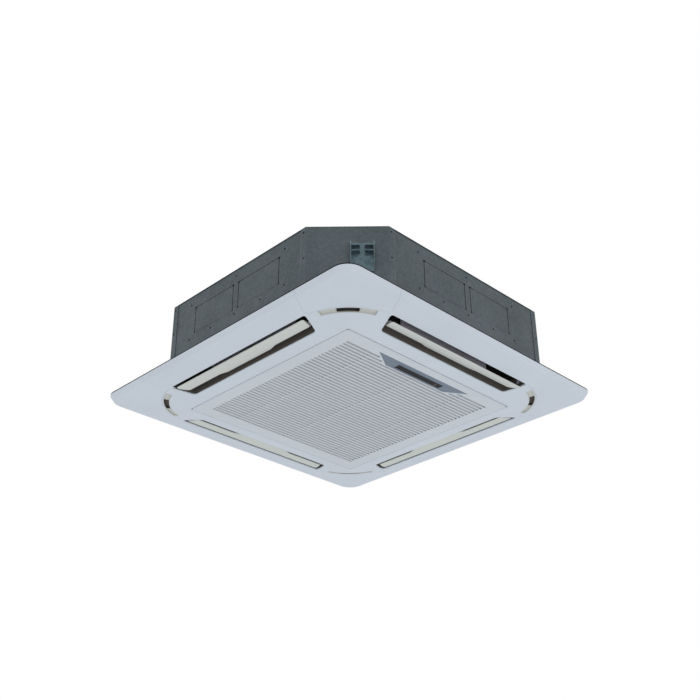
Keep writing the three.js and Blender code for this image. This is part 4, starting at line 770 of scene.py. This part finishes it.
# ---------- vanes ----------
def vane_blade(side):
    """A vane: at x along it, a closed section runs from the outer edge, -22, to the inner edge,
    which reaches 22 in the middle and 14 near the ends. The section is crowned by 1.3 mm and its
    edges are half rounds; the ends are cut on a slant with rounded corners."""
    station = np.linspace(-1, 1, 121)
    x_mid = station * VANE_OUT_HALF
    ease = np.clip((118.0 - np.abs(x_mid)) / 34.0, 0, 1)
    reach = VANE_END_REACH + (VANE_REACH - VANE_END_REACH) * ease * ease * (3 - 2 * ease)
    turn = np.linspace(-np.pi / 2, np.pi / 2, 7)
    half = VANE_THICK / 2
    flat = np.linspace(0.06, 0.94, 11)
    nose, side_way = 0.03 * np.cos(turn)[1:-1], np.sin(turn)[1:-1]
    share = np.r_[flat, 0.97 + nose, flat[::-1], 0.03 - nose]
    level = np.r_[-np.ones(11), side_way, np.ones(11), -side_way] * half
    edge = -VANE_REACH + 0 * station
    corner = np.clip((np.abs(station) - 0.985) / 0.015, 0, 1)
    trim = 5.0 * (1 - np.sqrt(1 - corner * corner * 0.999))
    w = (edge + trim)[:, None] + (reach - edge - 2 * trim)[:, None] * share[None, :]
    slant = (VANE_OUT_HALF - VANE_IN_HALF) / (VANE_REACH + VANE_END_REACH)
    ends = VANE_OUT_HALF - slant * (w + VANE_REACH)
    x = station[:, None] * ends
    z = level[None, :] + 1.3 * (w / VANE_REACH) ** 2
    body = loft(np.stack([x, w, z], -1))
    ribs = [box(a, a + 1.6, -12, 9, 0.4, 4.6) for a in (-116.0, 114.4)]
    arms = [box(a, a + 2.4, -2.0, 14.0, 0.4, VANE_DROP + 2.4) for a in (-236.0, 233.6)]
    pins = [tube([[a, 0, 0], [(a + b) / 2, 0, 0], [b, 0, 0]], 2.2, 20) for a, b in
            ((-256.0, -232.0), (232.0, 251.5))]
    # blade, ribs and arms are set in the closed pose and then swing as one piece with the pins
    swing = VANE_REST[side] - VANE_CLOSED
    closed = [placed(part, tilt=VANE_CLOSED) for part in [body] + ribs + arms]
    blade = [placed(part, shift=(0, -VANE_SHIFT, -VANE_DROP)) for part in closed]
    return [at_side(placed(part, tilt=swing, shift=(0, -VANE_OUT, VANE_Z)), side)
            for part in blade + pins]


def add_vanes():
    for side, name in enumerate(SIDES):
        make("vane_blade_" + name, vane_blade(side), VANE_PLASTIC, body=name + "_vane",
             stands_for=("vane_" + name,), slot="vane_cream", smooth=40.0)


# ---------- grille, filter and display ----------
def grille_fins():
    """Slanting louvres behind the slots: each starts at the back edge of its slot and rises
    towards the front. Those beside the display stop where its housing begins. Three flat ribs
    cross them."""
    parts = []
    for y in -FIELD_HALF + SLAT_PITCH * (np.arange(SLOT_COUNT) + 0.5):
        reach = FIELD_HALF + 1.0
        runs = [(-reach, FIELD_HALF - 3.2)]
        if y < -236.0:
            stop = 114.0 + 1.65 * (-236.0 - y)
            runs = [(-reach, -stop), (stop, FIELD_HALF - 3.2)]
        section = [[y + 3.7, 1.0], [y + 3.7, 2.2], [y - 5.0, 8.2], [y - 5.0, 7.0]]
        for start, end in runs:
            parts.append(loft([[[x, b, z] for b, z in section] for x in (start, end)]))
    for x in (-172.0, 0.0, 172.0):
        front = -234.0 if abs(x) < 120 else -FIELD_HALF
        parts.append(box(x - 3.6, x + 3.6, front, FIELD_HALF, 0.5, 3.6))
    return parts


def filter_net():
    """Crossed threads of the filter, a millimetre thick and 12 mm apart. They stop short of the
    catch, which stands in a round notch of the filter's back edge."""
    parts, reach, notch = [], 286.0, 278.0
    for place in np.arange(-282.0, 283.0, 12.0):
        end = notch if abs(place - CATCH_X) < CATCH_ROOM else reach
        parts.append(box(place - 0.5, place + 0.5, -reach, end, 16.2, 17.0))
        runs = [(-reach, reach)]
        if place > notch:
            runs = [(-reach, CATCH_X - CATCH_ROOM), (CATCH_X + CATCH_ROOM, reach)]
        for start, stop in runs:
            parts.append(box(start, stop, place - 0.5, place + 0.5, 15.6, 16.3))
    return parts


def window_rim():
    """The thin rim round the window, one bar per side."""
    half, front, back, thick = 85.4, -265.4, -245.6, 1.2
    return [box(x0, x1, y0, y1, -0.15, 1.6) for x0, x1, y0, y1 in
            ((-half, half, front, front + thick), (-half, half, back - thick, back),
             (-half, thick - half, front, back), (half - thick, half, front, back))]


def window_lamps():
    """Behind the window: a round remote eye and three small lamps, seen as faint relief."""
    eye = [[0.0, 0.05], [5.2, 0.05], [5.6, 0.3], [5.6, 1.0], [0.0, 1.0]]
    parts = [revolve(eye, 40, (62.0, WINDOW_Y))]
    lamp = [[0.0, 0.08], [1.5, 0.08], [1.7, 0.3], [1.7, 1.0], [0.0, 1.0]]
    parts += [revolve(lamp, 20, (x, WINDOW_Y)) for x in (-60.0, -48.0, -36.0)]
    return parts


def add_grille():
    # the louvres' grey is painted shade for the slots; they are the grille's white plastic
    make("grille_fins", grille_fins(), LOUVRE_PAINTED_SHADE, body="grille", slot="grille_white")
    make("filter_net", filter_net(), FILTER_PLASTIC, body="grille", slot="filter_grey")
    make("display_rim", window_rim(), DISPLAY_PAINT, body="grille", slot="display_metal",
         round_by=0.3)
    make("window_lamps", window_lamps(), EYE_GLASS, body="grille", slot="gloss_black")


# ---------- casing ----------
def screw_head(radius=4.2, high=1.9):
    """A domed hexagon-socket head with its washer face, along +Z."""
    profile = [[1.6, 0.7], [1.8, high], [radius * 0.62, high], [radius * 0.86, high * 0.72],
               [radius, high * 0.3], [radius, 0.0], [0.0, 0.0], [0.0, 0.7]]
    return revolve(profile, 12)


def on_wall(part, side, u, z, wall=CASING_HALF - 0.4):
    """A part drawn along +Z, laid on the outside of a side sheet."""
    points, faces = part
    laid = np.stack([points[:, 0] + u, -(points[:, 2] + wall), points[:, 1] + z], -1)
    return at_side((laid, faces), side)


def sheet_ends(side):
    """Where a side sheet starts and ends along its side, between the two corner cuts."""
    return CORNER_CUT[side] - CASING_HALF, CASING_HALF - CORNER_CUT[(side + 1) % 4]


def casing_screws():
    """Screws of the side sheets: beside the knockouts and down the flanges of the corner sheets."""
    parts = []
    for side in range(4):
        start, end = sheet_ends(side)
        centre = (start + end) / 2
        for u, z in ((-188, 228), (-188, 122), (-98, 121), (-2, 122), (-2, 236), (98, 121),
                     (188, 122), (188, 228)):
            parts.append(on_wall(screw_head(2.5, 1.1), side, centre + u, z, SHEET_FACE))
        for u in (start + 7, end - 7):
            for z in (62, 165, 240):
                parts.append(on_wall(screw_head(2.8, 1.2), side, u, z))
    return parts


def flange_edge_highlights():
    """The folded edges of the corner sheets, where they lie on the side sheets, as thin strips of
    lighter zinc that paint the highlight along each edge.
    """
    parts = []
    for side in range(4):
        start, end = sheet_ends(side)
        for u in (start + 16.4, end - 17.6):
            parts.append(at_side(box(u, u + 1.2, -CASING_HALF - 0.1, -CASING_HALF + 2.0,
                                     CASING_LOW + 1.0, CASING_TOP - 2.0), side))
    return parts


def knockouts():
    """Pressed-out knockouts: black strips where the slits outline each one, with black squares at
    the corners, painted shade for the dark seen through slits and holes; and slightly proud strips
    of lighter zinc just below and above each, painted highlights on the edges. Returns shade and
    highlight strips."""
    slit_shade, lip_highlights = [], []
    width, height, middle, low = 157.0, 77.0, 89.0, 136.0
    high = low + height
    for side in range(4):
        centre = sum(sheet_ends(side)) / 2
        for sign in (-1, 1):
            left = centre + sign * middle - width / 2
            right = left + width
            outline = ((left - 1.0, left + 1.4, low, high), (right - 1.4, right + 1.0, low, high),
                       (left, right, high - 1.4, high), (left, right, low, low + 0.8),
                       (left - 3.0, left + 4.0, high - 4.5, high + 1.0),
                       (right - 4.0, right + 3.0, high - 4.5, high + 1.0),
                       (left - 2.0, left + 2.0, low - 2.0, low + 3.0),
                       (right - 2.0, right + 2.0, low - 2.0, low + 3.0))
            slit_shade += [at_side(box(u0, u1, -SHEET_FACE - 0.12, -SHEET_FACE + 0.5, z0, z1), side)
                      for u0, u1, z0, z1 in outline]
            lip_highlights += [at_side(box(left + 6, right - 6, -SHEET_FACE - out, -SHEET_FACE + 0.2, z0, z1),
                             side)
                     for out, z0, z1 in ((0.7, low - 1.9, low - 0.3),
                                         (0.5, high + 0.3, high + 1.3))]
    return slit_shade, lip_highlights


def add_casing():
    make("casing_screws", casing_screws(), SCREW_BLACK, slot="dark_steel")
    slit_shade, lip_highlights = knockouts()
    # black strips painted as the shade in the knockout slits
    make("knockout_slit_shade", slit_shade, SLIT_PAINTED_SHADE, slot="dark_steel")
    # lighter zinc strips painted as highlights on the knockouts' edges
    make("knockout_lip_highlights", lip_highlights, ZINC_PAINTED_HIGHLIGHT, slot="galvanised")
    # the flange edge strips are painted highlights
    make("flange_edge_highlights", flange_edge_highlights(), ZINC_PAINTED_HIGHLIGHT, slot="galvanised", round_by=0.3)


# ---------- coil ----------
def coil_spot(s, out):
    """The point at distance s along the coil's middle line and out beyond it: straight down the
    right side, round a quarter turn, along the front, and so on to the back."""
    bend = COIL_MID - COIL_TURN
    quarter = bend * np.pi / 2
    lengths = np.array([COIL_END_RIGHT + COIL_TURN, quarter, 2 * COIL_TURN, quarter,
                        2 * COIL_TURN, quarter, COIL_TURN + COIL_END_BACK])
    ends = np.cumsum(lengths)
    leg = np.clip(np.searchsorted(ends, s, side="right"), 0, 6)
    t = s - np.r_[0, ends][leg]
    turns = -np.pi / 2 * (leg // 2)
    odd = leg % 2 == 1
    start = np.where(leg == 0, COIL_END_RIGHT, COIL_TURN)
    angle = np.where(odd, -t / bend, 0.0)
    x = np.where(odd, COIL_TURN + (bend + out) * np.cos(angle), COIL_MID + out)
    y = np.where(odd, -COIL_TURN + (bend + out) * np.sin(angle), start - t)
    return x * np.cos(turns) - y * np.sin(turns), x * np.sin(turns) + y * np.cos(turns), ends[-1]


def coil_fins():
    """Thin plates across the coil, 3 mm apart."""
    total = coil_spot(np.zeros(1), 0.0)[2]
    s = np.arange(1.5, total - 1.0, 3.0)
    corners = []
    for along, out in ((-1, -1), (1, -1), (1, 1), (-1, 1)):
        x, y, _ = coil_spot(s + 0.22 * along, COIL_HALF_DEPTH * out)
        corners.append(np.stack([x, y], -1))
    plan = np.stack(corners, 1)
    low = np.concatenate([plan, np.full(plan.shape[:2] + (1,), COIL_LOW)], -1)
    high = np.concatenate([plan, np.full(plan.shape[:2] + (1,), COIL_TOP)], -1)
    points = np.concatenate([low, high], 1).reshape(-1, 3)
    base = 8 * np.arange(len(s))[:, None]
    quads = [[0, 3, 2, 1], [4, 5, 6, 7], [0, 1, 5, 4], [1, 2, 6, 5], [2, 3, 7, 6], [3, 0, 4, 7]]
    return [(points, [base + np.array(quad)[None] for quad in quads])]


def coil_tubes():
    """Copper tubes through the fins in two columns, joined by U bends past both end plates."""
    parts = []
    total = float(coil_spot(np.zeros(1), 0.0)[2])
    s = np.linspace(0.0, total, 160)
    for out in (-9.0, 9.0):
        for z in np.arange(76.0, 232.0, 25.0):
            x, y, _ = coil_spot(s, out)
            parts.append(tube(np.stack([x, y, z + 0 * x], -1), 3.4, 10))
    turn = np.linspace(0, np.pi, 9)
    for out in (-9.0, 9.0):
        for z in (76.0, 126.0, 176.0):
            for end in (0, 1):
                reach, rise = 12.5 * np.sin(turn) + 1.0, z + 12.5 - 12.5 * np.cos(turn)
                spot = COIL_MID + out + 0 * turn
                path = ([spot, COIL_END_RIGHT + reach, rise],
                        [COIL_END_BACK + reach, spot, rise])[end]
                parts.append(tube(np.stack(path, -1), 3.4, 12))
    return parts


def coil_plates():
    """A sheet across each end of the coil."""
    low, high = COIL_LOW, COIL_TOP + 2
    inner, outer = COIL_MID - 21, COIL_MID + 20
    return [box(inner, outer, COIL_END_RIGHT - 1, COIL_END_RIGHT + 1, low, high),
            box(COIL_END_BACK - 1, COIL_END_BACK + 1, inner, outer, low, high)]


def add_coil():
    make("coil_fins", coil_fins(), FIN_METAL, stands_for=("coil",), slot="aluminium", smooth=20.0)
    make("coil_tubes", coil_tubes(), COPPER, slot="copper", smooth=50.0)
    make("coil_end_plates", coil_plates(), ZINC_BRIGHT, slot="galvanised", round_by=0.3)


# ---------- fan, bell mouth and motor ----------
def fan_back():
    """Back plate of the fan with its domed hub."""
    lower = [[6.4, HUB_Z - 6], [20, HUB_Z - 6], [24, HUB_Z - 1], [46, HUB_Z + 0.6], [68, HUB_Z + 3],
             [82, HUB_Z + 22], [92, FAN_HIGH - 16], [104, FAN_HIGH - 4], [118, FAN_HIGH - 3],
             [FAN_RADIUS, FAN_HIGH - 3]]
    upper = [[FAN_RADIUS, FAN_HIGH], [114, FAN_HIGH], [101, FAN_HIGH - 1], [88, FAN_HIGH - 14],
             [78, HUB_Z + 25], [65, HUB_Z + 6.4], [46, HUB_Z + 4.4], [6.4, HUB_Z + 4]]
    return revolve(lower + upper, 96)


def fan_shroud():
    """Ring under the blades, which curls down into the inlet eye: radius past the eye, height."""
    profile = np.array([[0, 0], [2.6, 0], [4.6, 4], [9, 9], [22, 13], [FAN_RADIUS - FAN_EYE, 15],
                        [FAN_RADIUS - FAN_EYE, 18], [21, 16], [7, 11.6], [2.4, 6]])
    return revolve(profile + [FAN_EYE, FAN_LOW], 96)


def fan_blade(turn):
    """A backward curved blade: radius grows evenly from the leading to the trailing edge while
    the angle runs back 52 degrees; the thickness is a half sine that peaks near the front."""
    share = np.linspace(0, 1, 25)
    radius = FAN_EYE - 30 + share * (FAN_RADIUS - FAN_EYE + 25)
    angle = np.radians(turn - 52 * share + 8 * np.sin(np.pi * share))
    half = (1.0 + 3.4 * np.sin(np.pi * np.minimum(1, share * 1.08)) ** 0.8) / radius
    low = FAN_LOW + 12.5 - 3.0 * np.clip((radius - 166) / 8, 0, 1)
    outline = np.r_[angle - half, (angle + half)[::-1]]
    reach, base = np.r_[radius, radius[::-1]], np.r_[low, low[::-1]]
    plan = np.stack([reach * np.cos(outline), reach * np.sin(outline)], -1)
    return loft([np.c_[plan, base], np.c_[plan, np.full(len(base), FAN_HIGH - 1.0)]])


def bell_plate():
    """Square plate with a round hole: circle points carried straight out to the square."""
    angle = np.linspace(0, 2 * np.pi, 97)[:-1] + 2 * np.pi / 192
    ray = np.stack([np.cos(angle), np.sin(angle)], -1)
    inner = (MOUTH_RADIUS + 2) * ray
    outer = 283.0 * ray / np.max(np.abs(ray), axis=1)[:, None]
    loops = [np.c_[plan, np.full(96, z)] for plan, z in
             ((inner, MOUTH_Z), (outer, MOUTH_Z), (outer, MOUTH_Z + 3), (inner, MOUTH_Z + 3))]
    return sheet(np.array(loops), wrap_rows=True, wrap_columns=True)


def bell_throat():
    """Trumpet from the wide mouth to the throat: a quarter of an ellipse in section."""
    turn = np.radians(np.linspace(0, 90, 15))
    flare, rise = MOUTH_RADIUS - THROAT_RADIUS, 42.0
    radius = MOUTH_RADIUS - flare * np.sin(turn)
    z = MOUTH_Z + rise * (1 - np.cos(turn))
    inside = np.stack([np.r_[radius, THROAT_RADIUS], np.r_[z, 108.0]], -1)
    outside = inside[::-1] + [2.5, 0.0]
    outside[-1] = [MOUTH_RADIUS + 4, MOUTH_Z + 1.4]
    return revolve(np.vstack([inside, outside]), 96)


def motor_case():
    """Motor can with cooling ribs under its rim, and four rubber mounted ears."""
    rib = np.linspace(MOTOR_LOW + 18, MOTOR_HIGH - 12, 13)
    wave = MOTOR_RADIUS - 1.2 * (np.arange(13) % 2)
    profile = [[0, MOTOR_LOW], [16, MOTOR_LOW], [18, MOTOR_LOW + 1.5], [20, MOTOR_LOW + 6],
               [MOTOR_RADIUS - 12, MOTOR_LOW + 6], [MOTOR_RADIUS - 4, MOTOR_LOW + 8.5],
               [MOTOR_RADIUS, MOTOR_LOW + 14]]
    profile += np.stack([wave, rib], -1).tolist() + [[MOTOR_RADIUS, MOTOR_HIGH], [0, MOTOR_HIGH]]
    parts = [revolve(profile, 64)]
    for turn in (45, 135, 225, 315):
        parts.append(placed(box(40, 88, -10, 10, MOTOR_HIGH - 10, MOTOR_HIGH - 4), turn))
    return parts


def motor_mounts():
    """Turned rubber feet between the motor's ears and the top sheet, waisted in the middle."""
    parts = []
    for turn in (45, 135, 225, 315):
        x, y = 77 * math.cos(math.radians(turn)), 77 * math.sin(math.radians(turn))
        profile = [[0, MOTOR_HIGH - 5], [9, MOTOR_HIGH - 5], [11, MOTOR_HIGH - 3],
                   [11, MOTOR_HIGH + 2], [8.6, MOTOR_HIGH + 5], [11, MOTOR_HIGH + 8],
                   [11, CASING_TOP - 2.5], [0, CASING_TOP - 2.5]]
        parts.append(revolve(profile, 28, (x, y)))
    return parts


def add_fan():
    blades = [fan_blade(360 * i / BLADES) for i in range(BLADES)]
    make("fan_wheel", [fan_back(), fan_shroud()] + blades, FAN_PLASTIC, body="fan",
         stands_for=("fan_impeller",), slot="fan_grey", smooth=40.0)
    make("bell_mouth_ring", [bell_plate(), bell_throat()], FAN_PLASTIC, stands_for=("bell_mouth",),
         slot="fan_grey", smooth=40.0)
    make("motor_case", motor_case(), MOTOR_STEEL, stands_for=("fan_motor",), slot="dark_steel",
         round_by=0.5)
    make("motor_mounts", motor_mounts(), RUBBER, slot="dark_steel", smooth=45.0)


# ---------- pipes ----------
def corner_point(s, t, z):
    """Point of the pipe corner: s out along the diagonal, t sideways."""
    return [(s - t) / math.sqrt(2), (s + t) / math.sqrt(2), z]


def open_pipe(path, radius, sides=28, bore=0.82):
    """A tube along a path whose far end is open: the section turns in to the bore and runs back."""
    path = np.asarray(path, float)
    outer, _ = tube(path, radius, sides)
    outer = outer.reshape(len(path), sides, 3)
    centre = path[-1]
    rim = centre + (outer[-1] - centre) * bore
    back = rim + (path[-2] - path[-1]) / np.linalg.norm(path[-2] - path[-1]) * 12.0
    return loft(np.concatenate([outer, rim[None], back[None]]))


def line_pipe(radius, t, z, head_x, head_y, low, high, head_radius):
    """A coil header with a dished cap on both ends, and the line that leaves it."""
    legs = ((-48, 0.9), (-30, 1), (-17, 1), (-2, 1), (53, 1))
    route = [[head_x, head_y, z]] + [corner_point(PIPE_SHEET + past, t * share, z)
                                     for past, share in legs]
    cap = [[0, 0], [head_radius * 0.6, 0.4], [head_radius * 0.92, 1.6], [head_radius, 4]]
    profile = [[r, low + d] for r, d in cap] + [[r, high - d] for r, d in cap[::-1]]
    header = revolve(profile, 32, (head_x, head_y))
    return [header, open_pipe(smooth_path(route, 70), radius)]


def flare_nut(radius, t, z):
    """A hexagon nut with chamfered ends and a skirt, on the pipe outside the corner sheet."""
    angle = np.radians(np.arange(0, 360, 7.5) + 3.75)
    across = radius * 1.8 * math.cos(math.radians(30))
    face = across / np.cos((angle + np.pi / 6) % (np.pi / 3) - np.pi / 6)
    hexagon = np.minimum(face, radius * 1.74)
    rows = [(radius + 0.6, 0.6), (hexagon * 0.9, 0.0), (hexagon, 1.6), (hexagon, 11.0),
            (hexagon * 0.93, 12.4), (radius * 1.32, 13.0), (radius * 1.26, 18.0),
            (radius + 0.6, 18.0)]
    loops = [np.stack([t + r * np.cos(angle), -(PIPE_SHEET + 28.0 + past) + 0 * angle,
                       z + r * np.sin(angle)], -1) for r, past in rows]
    return at_corner(sheet(np.array(loops), wrap_rows=True, wrap_columns=True), 2)


def drain_hose():
    """Corrugated hose: the radius swings between 6.3 and 7.3 mm every 4 mm along the route."""
    x, y, _ = corner_point(PUMP_S, PUMP_T, 0)
    z = PUMP_NECK - 8
    root = math.sqrt(2)
    along = [[x - d / root, y + d / root, z] for d in (36.5, 44, 52)]
    route = along + [[x - 42.5, y + 45.2, 114], [x - 38.5, y + 49.2, 152],
                     [x - 26.5, y + 45.2, 196]]
    route += [corner_point(PIPE_SHEET - s, t, h) for s, t, h in
              ((40, 40, 222), (36, 0, 229), (36, -40, 226), (36, -64, 205), (36, -66, 162),
               (31, -62, 132), (17, -62, 122), (0, -62, 122))]
    path = smooth_path(route, 560)
    length = np.r_[0, np.cumsum(np.linalg.norm(np.diff(path, axis=0), axis=1))]
    inside = np.clip(np.minimum(length, length[-1] - length) / 14.0, 0, 1)
    return [tube(path, 6.8 + 0.5 * inside * np.sin(2 * np.pi * length / 4.0), 18)]


def add_pipes():
    for kind, pipe, line in (("gas", GAS_PIPE, (327, 245, 90, 226, 9)),
                             ("liquid", LIQUID_PIPE, (324, 266, 170, 226, 5))):
        make(kind + "_line", line_pipe(*pipe, *line), COPPER, stands_for=(kind + "_pipe",),
             slot="copper", smooth=40.0)
    for kind, pipe in (("gas", GAS_PIPE), ("liquid", LIQUID_PIPE)):
        make(kind + "_flare_nut", [flare_nut(*pipe)], BRASS, stands_for=("flare_nut_" + kind,),
             slot="brass", smooth=30.0)
    make("drain_hose_ribs", drain_hose(), RUBBER, stands_for=("drain_hose",), slot="rubber",
         smooth=60.0)


# ---------- camera, light and floor ----------
def set_camera():
    """The camera of the photograph: place in metres, turned by yaw, pitch and roll."""
    place = (-1.87240, -1.88041, -1.28252)
    yaw, pitch, roll = 0.786269, 0.503907, -0.0079964
    ahead = np.array([math.cos(pitch) * math.cos(yaw), math.cos(pitch) * math.sin(yaw),
                      math.sin(pitch)])
    level = np.cross(ahead, [0.0, 0.0, 1.0])
    level /= np.linalg.norm(level)
    above = np.cross(level, ahead)
    right = math.cos(roll) * level + math.sin(roll) * above
    up = -math.sin(roll) * level + math.cos(roll) * above
    data = bpy.data.cameras.new("camera")
    data.lens, data.sensor_width, data.clip_start, data.clip_end = 55.53, 36.0, 0.05, 60.0
    camera = bpy.data.objects.new("camera", data)
    bpy.context.scene.collection.objects.link(camera)
    turn = Matrix((right, up, -ahead)).transposed().to_4x4()
    camera.matrix_world = Matrix.Translation(place) @ turn
    bpy.context.scene.camera = camera


def add_lamp(name, place, target, size, power):
    """A round lamp at a place, facing its target."""
    data = bpy.data.lights.new(name, "AREA")
    data.shape, data.size, data.energy = "DISK", size, power
    lamp = bpy.data.objects.new(name, data)
    bpy.context.scene.collection.objects.link(lamp)
    direction = np.array(target, float) - np.array(place, float)
    lamp.matrix_world = (Matrix.Translation(place)
                         @ Vector(direction).to_track_quat("-Z", "Y").to_matrix().to_4x4())


def set_light():
    """A white world that shows as white behind the object and lights it softly, and two lamps."""
    bpy.context.scene.view_settings.view_transform = "Standard"
    world = bpy.data.worlds.new("studio")
    bpy.context.scene.world = world
    world.use_nodes = True
    nodes, links = world.node_tree.nodes, world.node_tree.links
    nodes.clear()
    path, mix = nodes.new("ShaderNodeLightPath"), nodes.new("ShaderNodeMixShader")
    soft, white = nodes.new("ShaderNodeBackground"), nodes.new("ShaderNodeBackground")
    output = nodes.new("ShaderNodeOutputWorld")
    soft.inputs["Color"].default_value = (0.96, 0.98, 1.0, 1.0)
    soft.inputs["Strength"].default_value = 0.72
    white.inputs["Color"].default_value = (1.0, 1.0, 1.0, 1.0)
    white.inputs["Strength"].default_value = 1.0
    links.new(path.outputs["Is Camera Ray"], mix.inputs[0])
    links.new(soft.outputs[0], mix.inputs[1])
    links.new(white.outputs[0], mix.inputs[2])
    links.new(mix.outputs[0], output.inputs["Surface"])
    add_lamp("key", (-0.4, -2.4, -1.9), (0.0, 0.0, 0.05), 1.2, 14.0)
    add_lamp("top", (0.6, 0.6, 2.8), (0.0, 0.0, 0.1), 2.2, 46.0)


def add_floor():
    """A pale floor well below the hanging unit."""
    mesh = bpy.data.meshes.new("floor")
    reach, low = 9.0, -1.75
    mesh.from_pydata([(x * reach, y * reach, low) for x, y in ((-1, -1), (1, -1), (1, 1), (-1, 1))],
                     [], [(0, 1, 2, 3)])
    floor = bpy.data.objects.new("floor", mesh)
    bpy.context.scene.collection.objects.link(floor)
    mesh.materials.append(moulded("floor_paint", (236, 237, 238), spread=1, roughness=0.8))


# ---------- assembly ----------
dress_cad_nodes()
add_panel()
add_vanes()
add_grille()
add_casing()
add_coil()
add_fan()
add_pipes()
set_camera()
set_light()
add_floor()
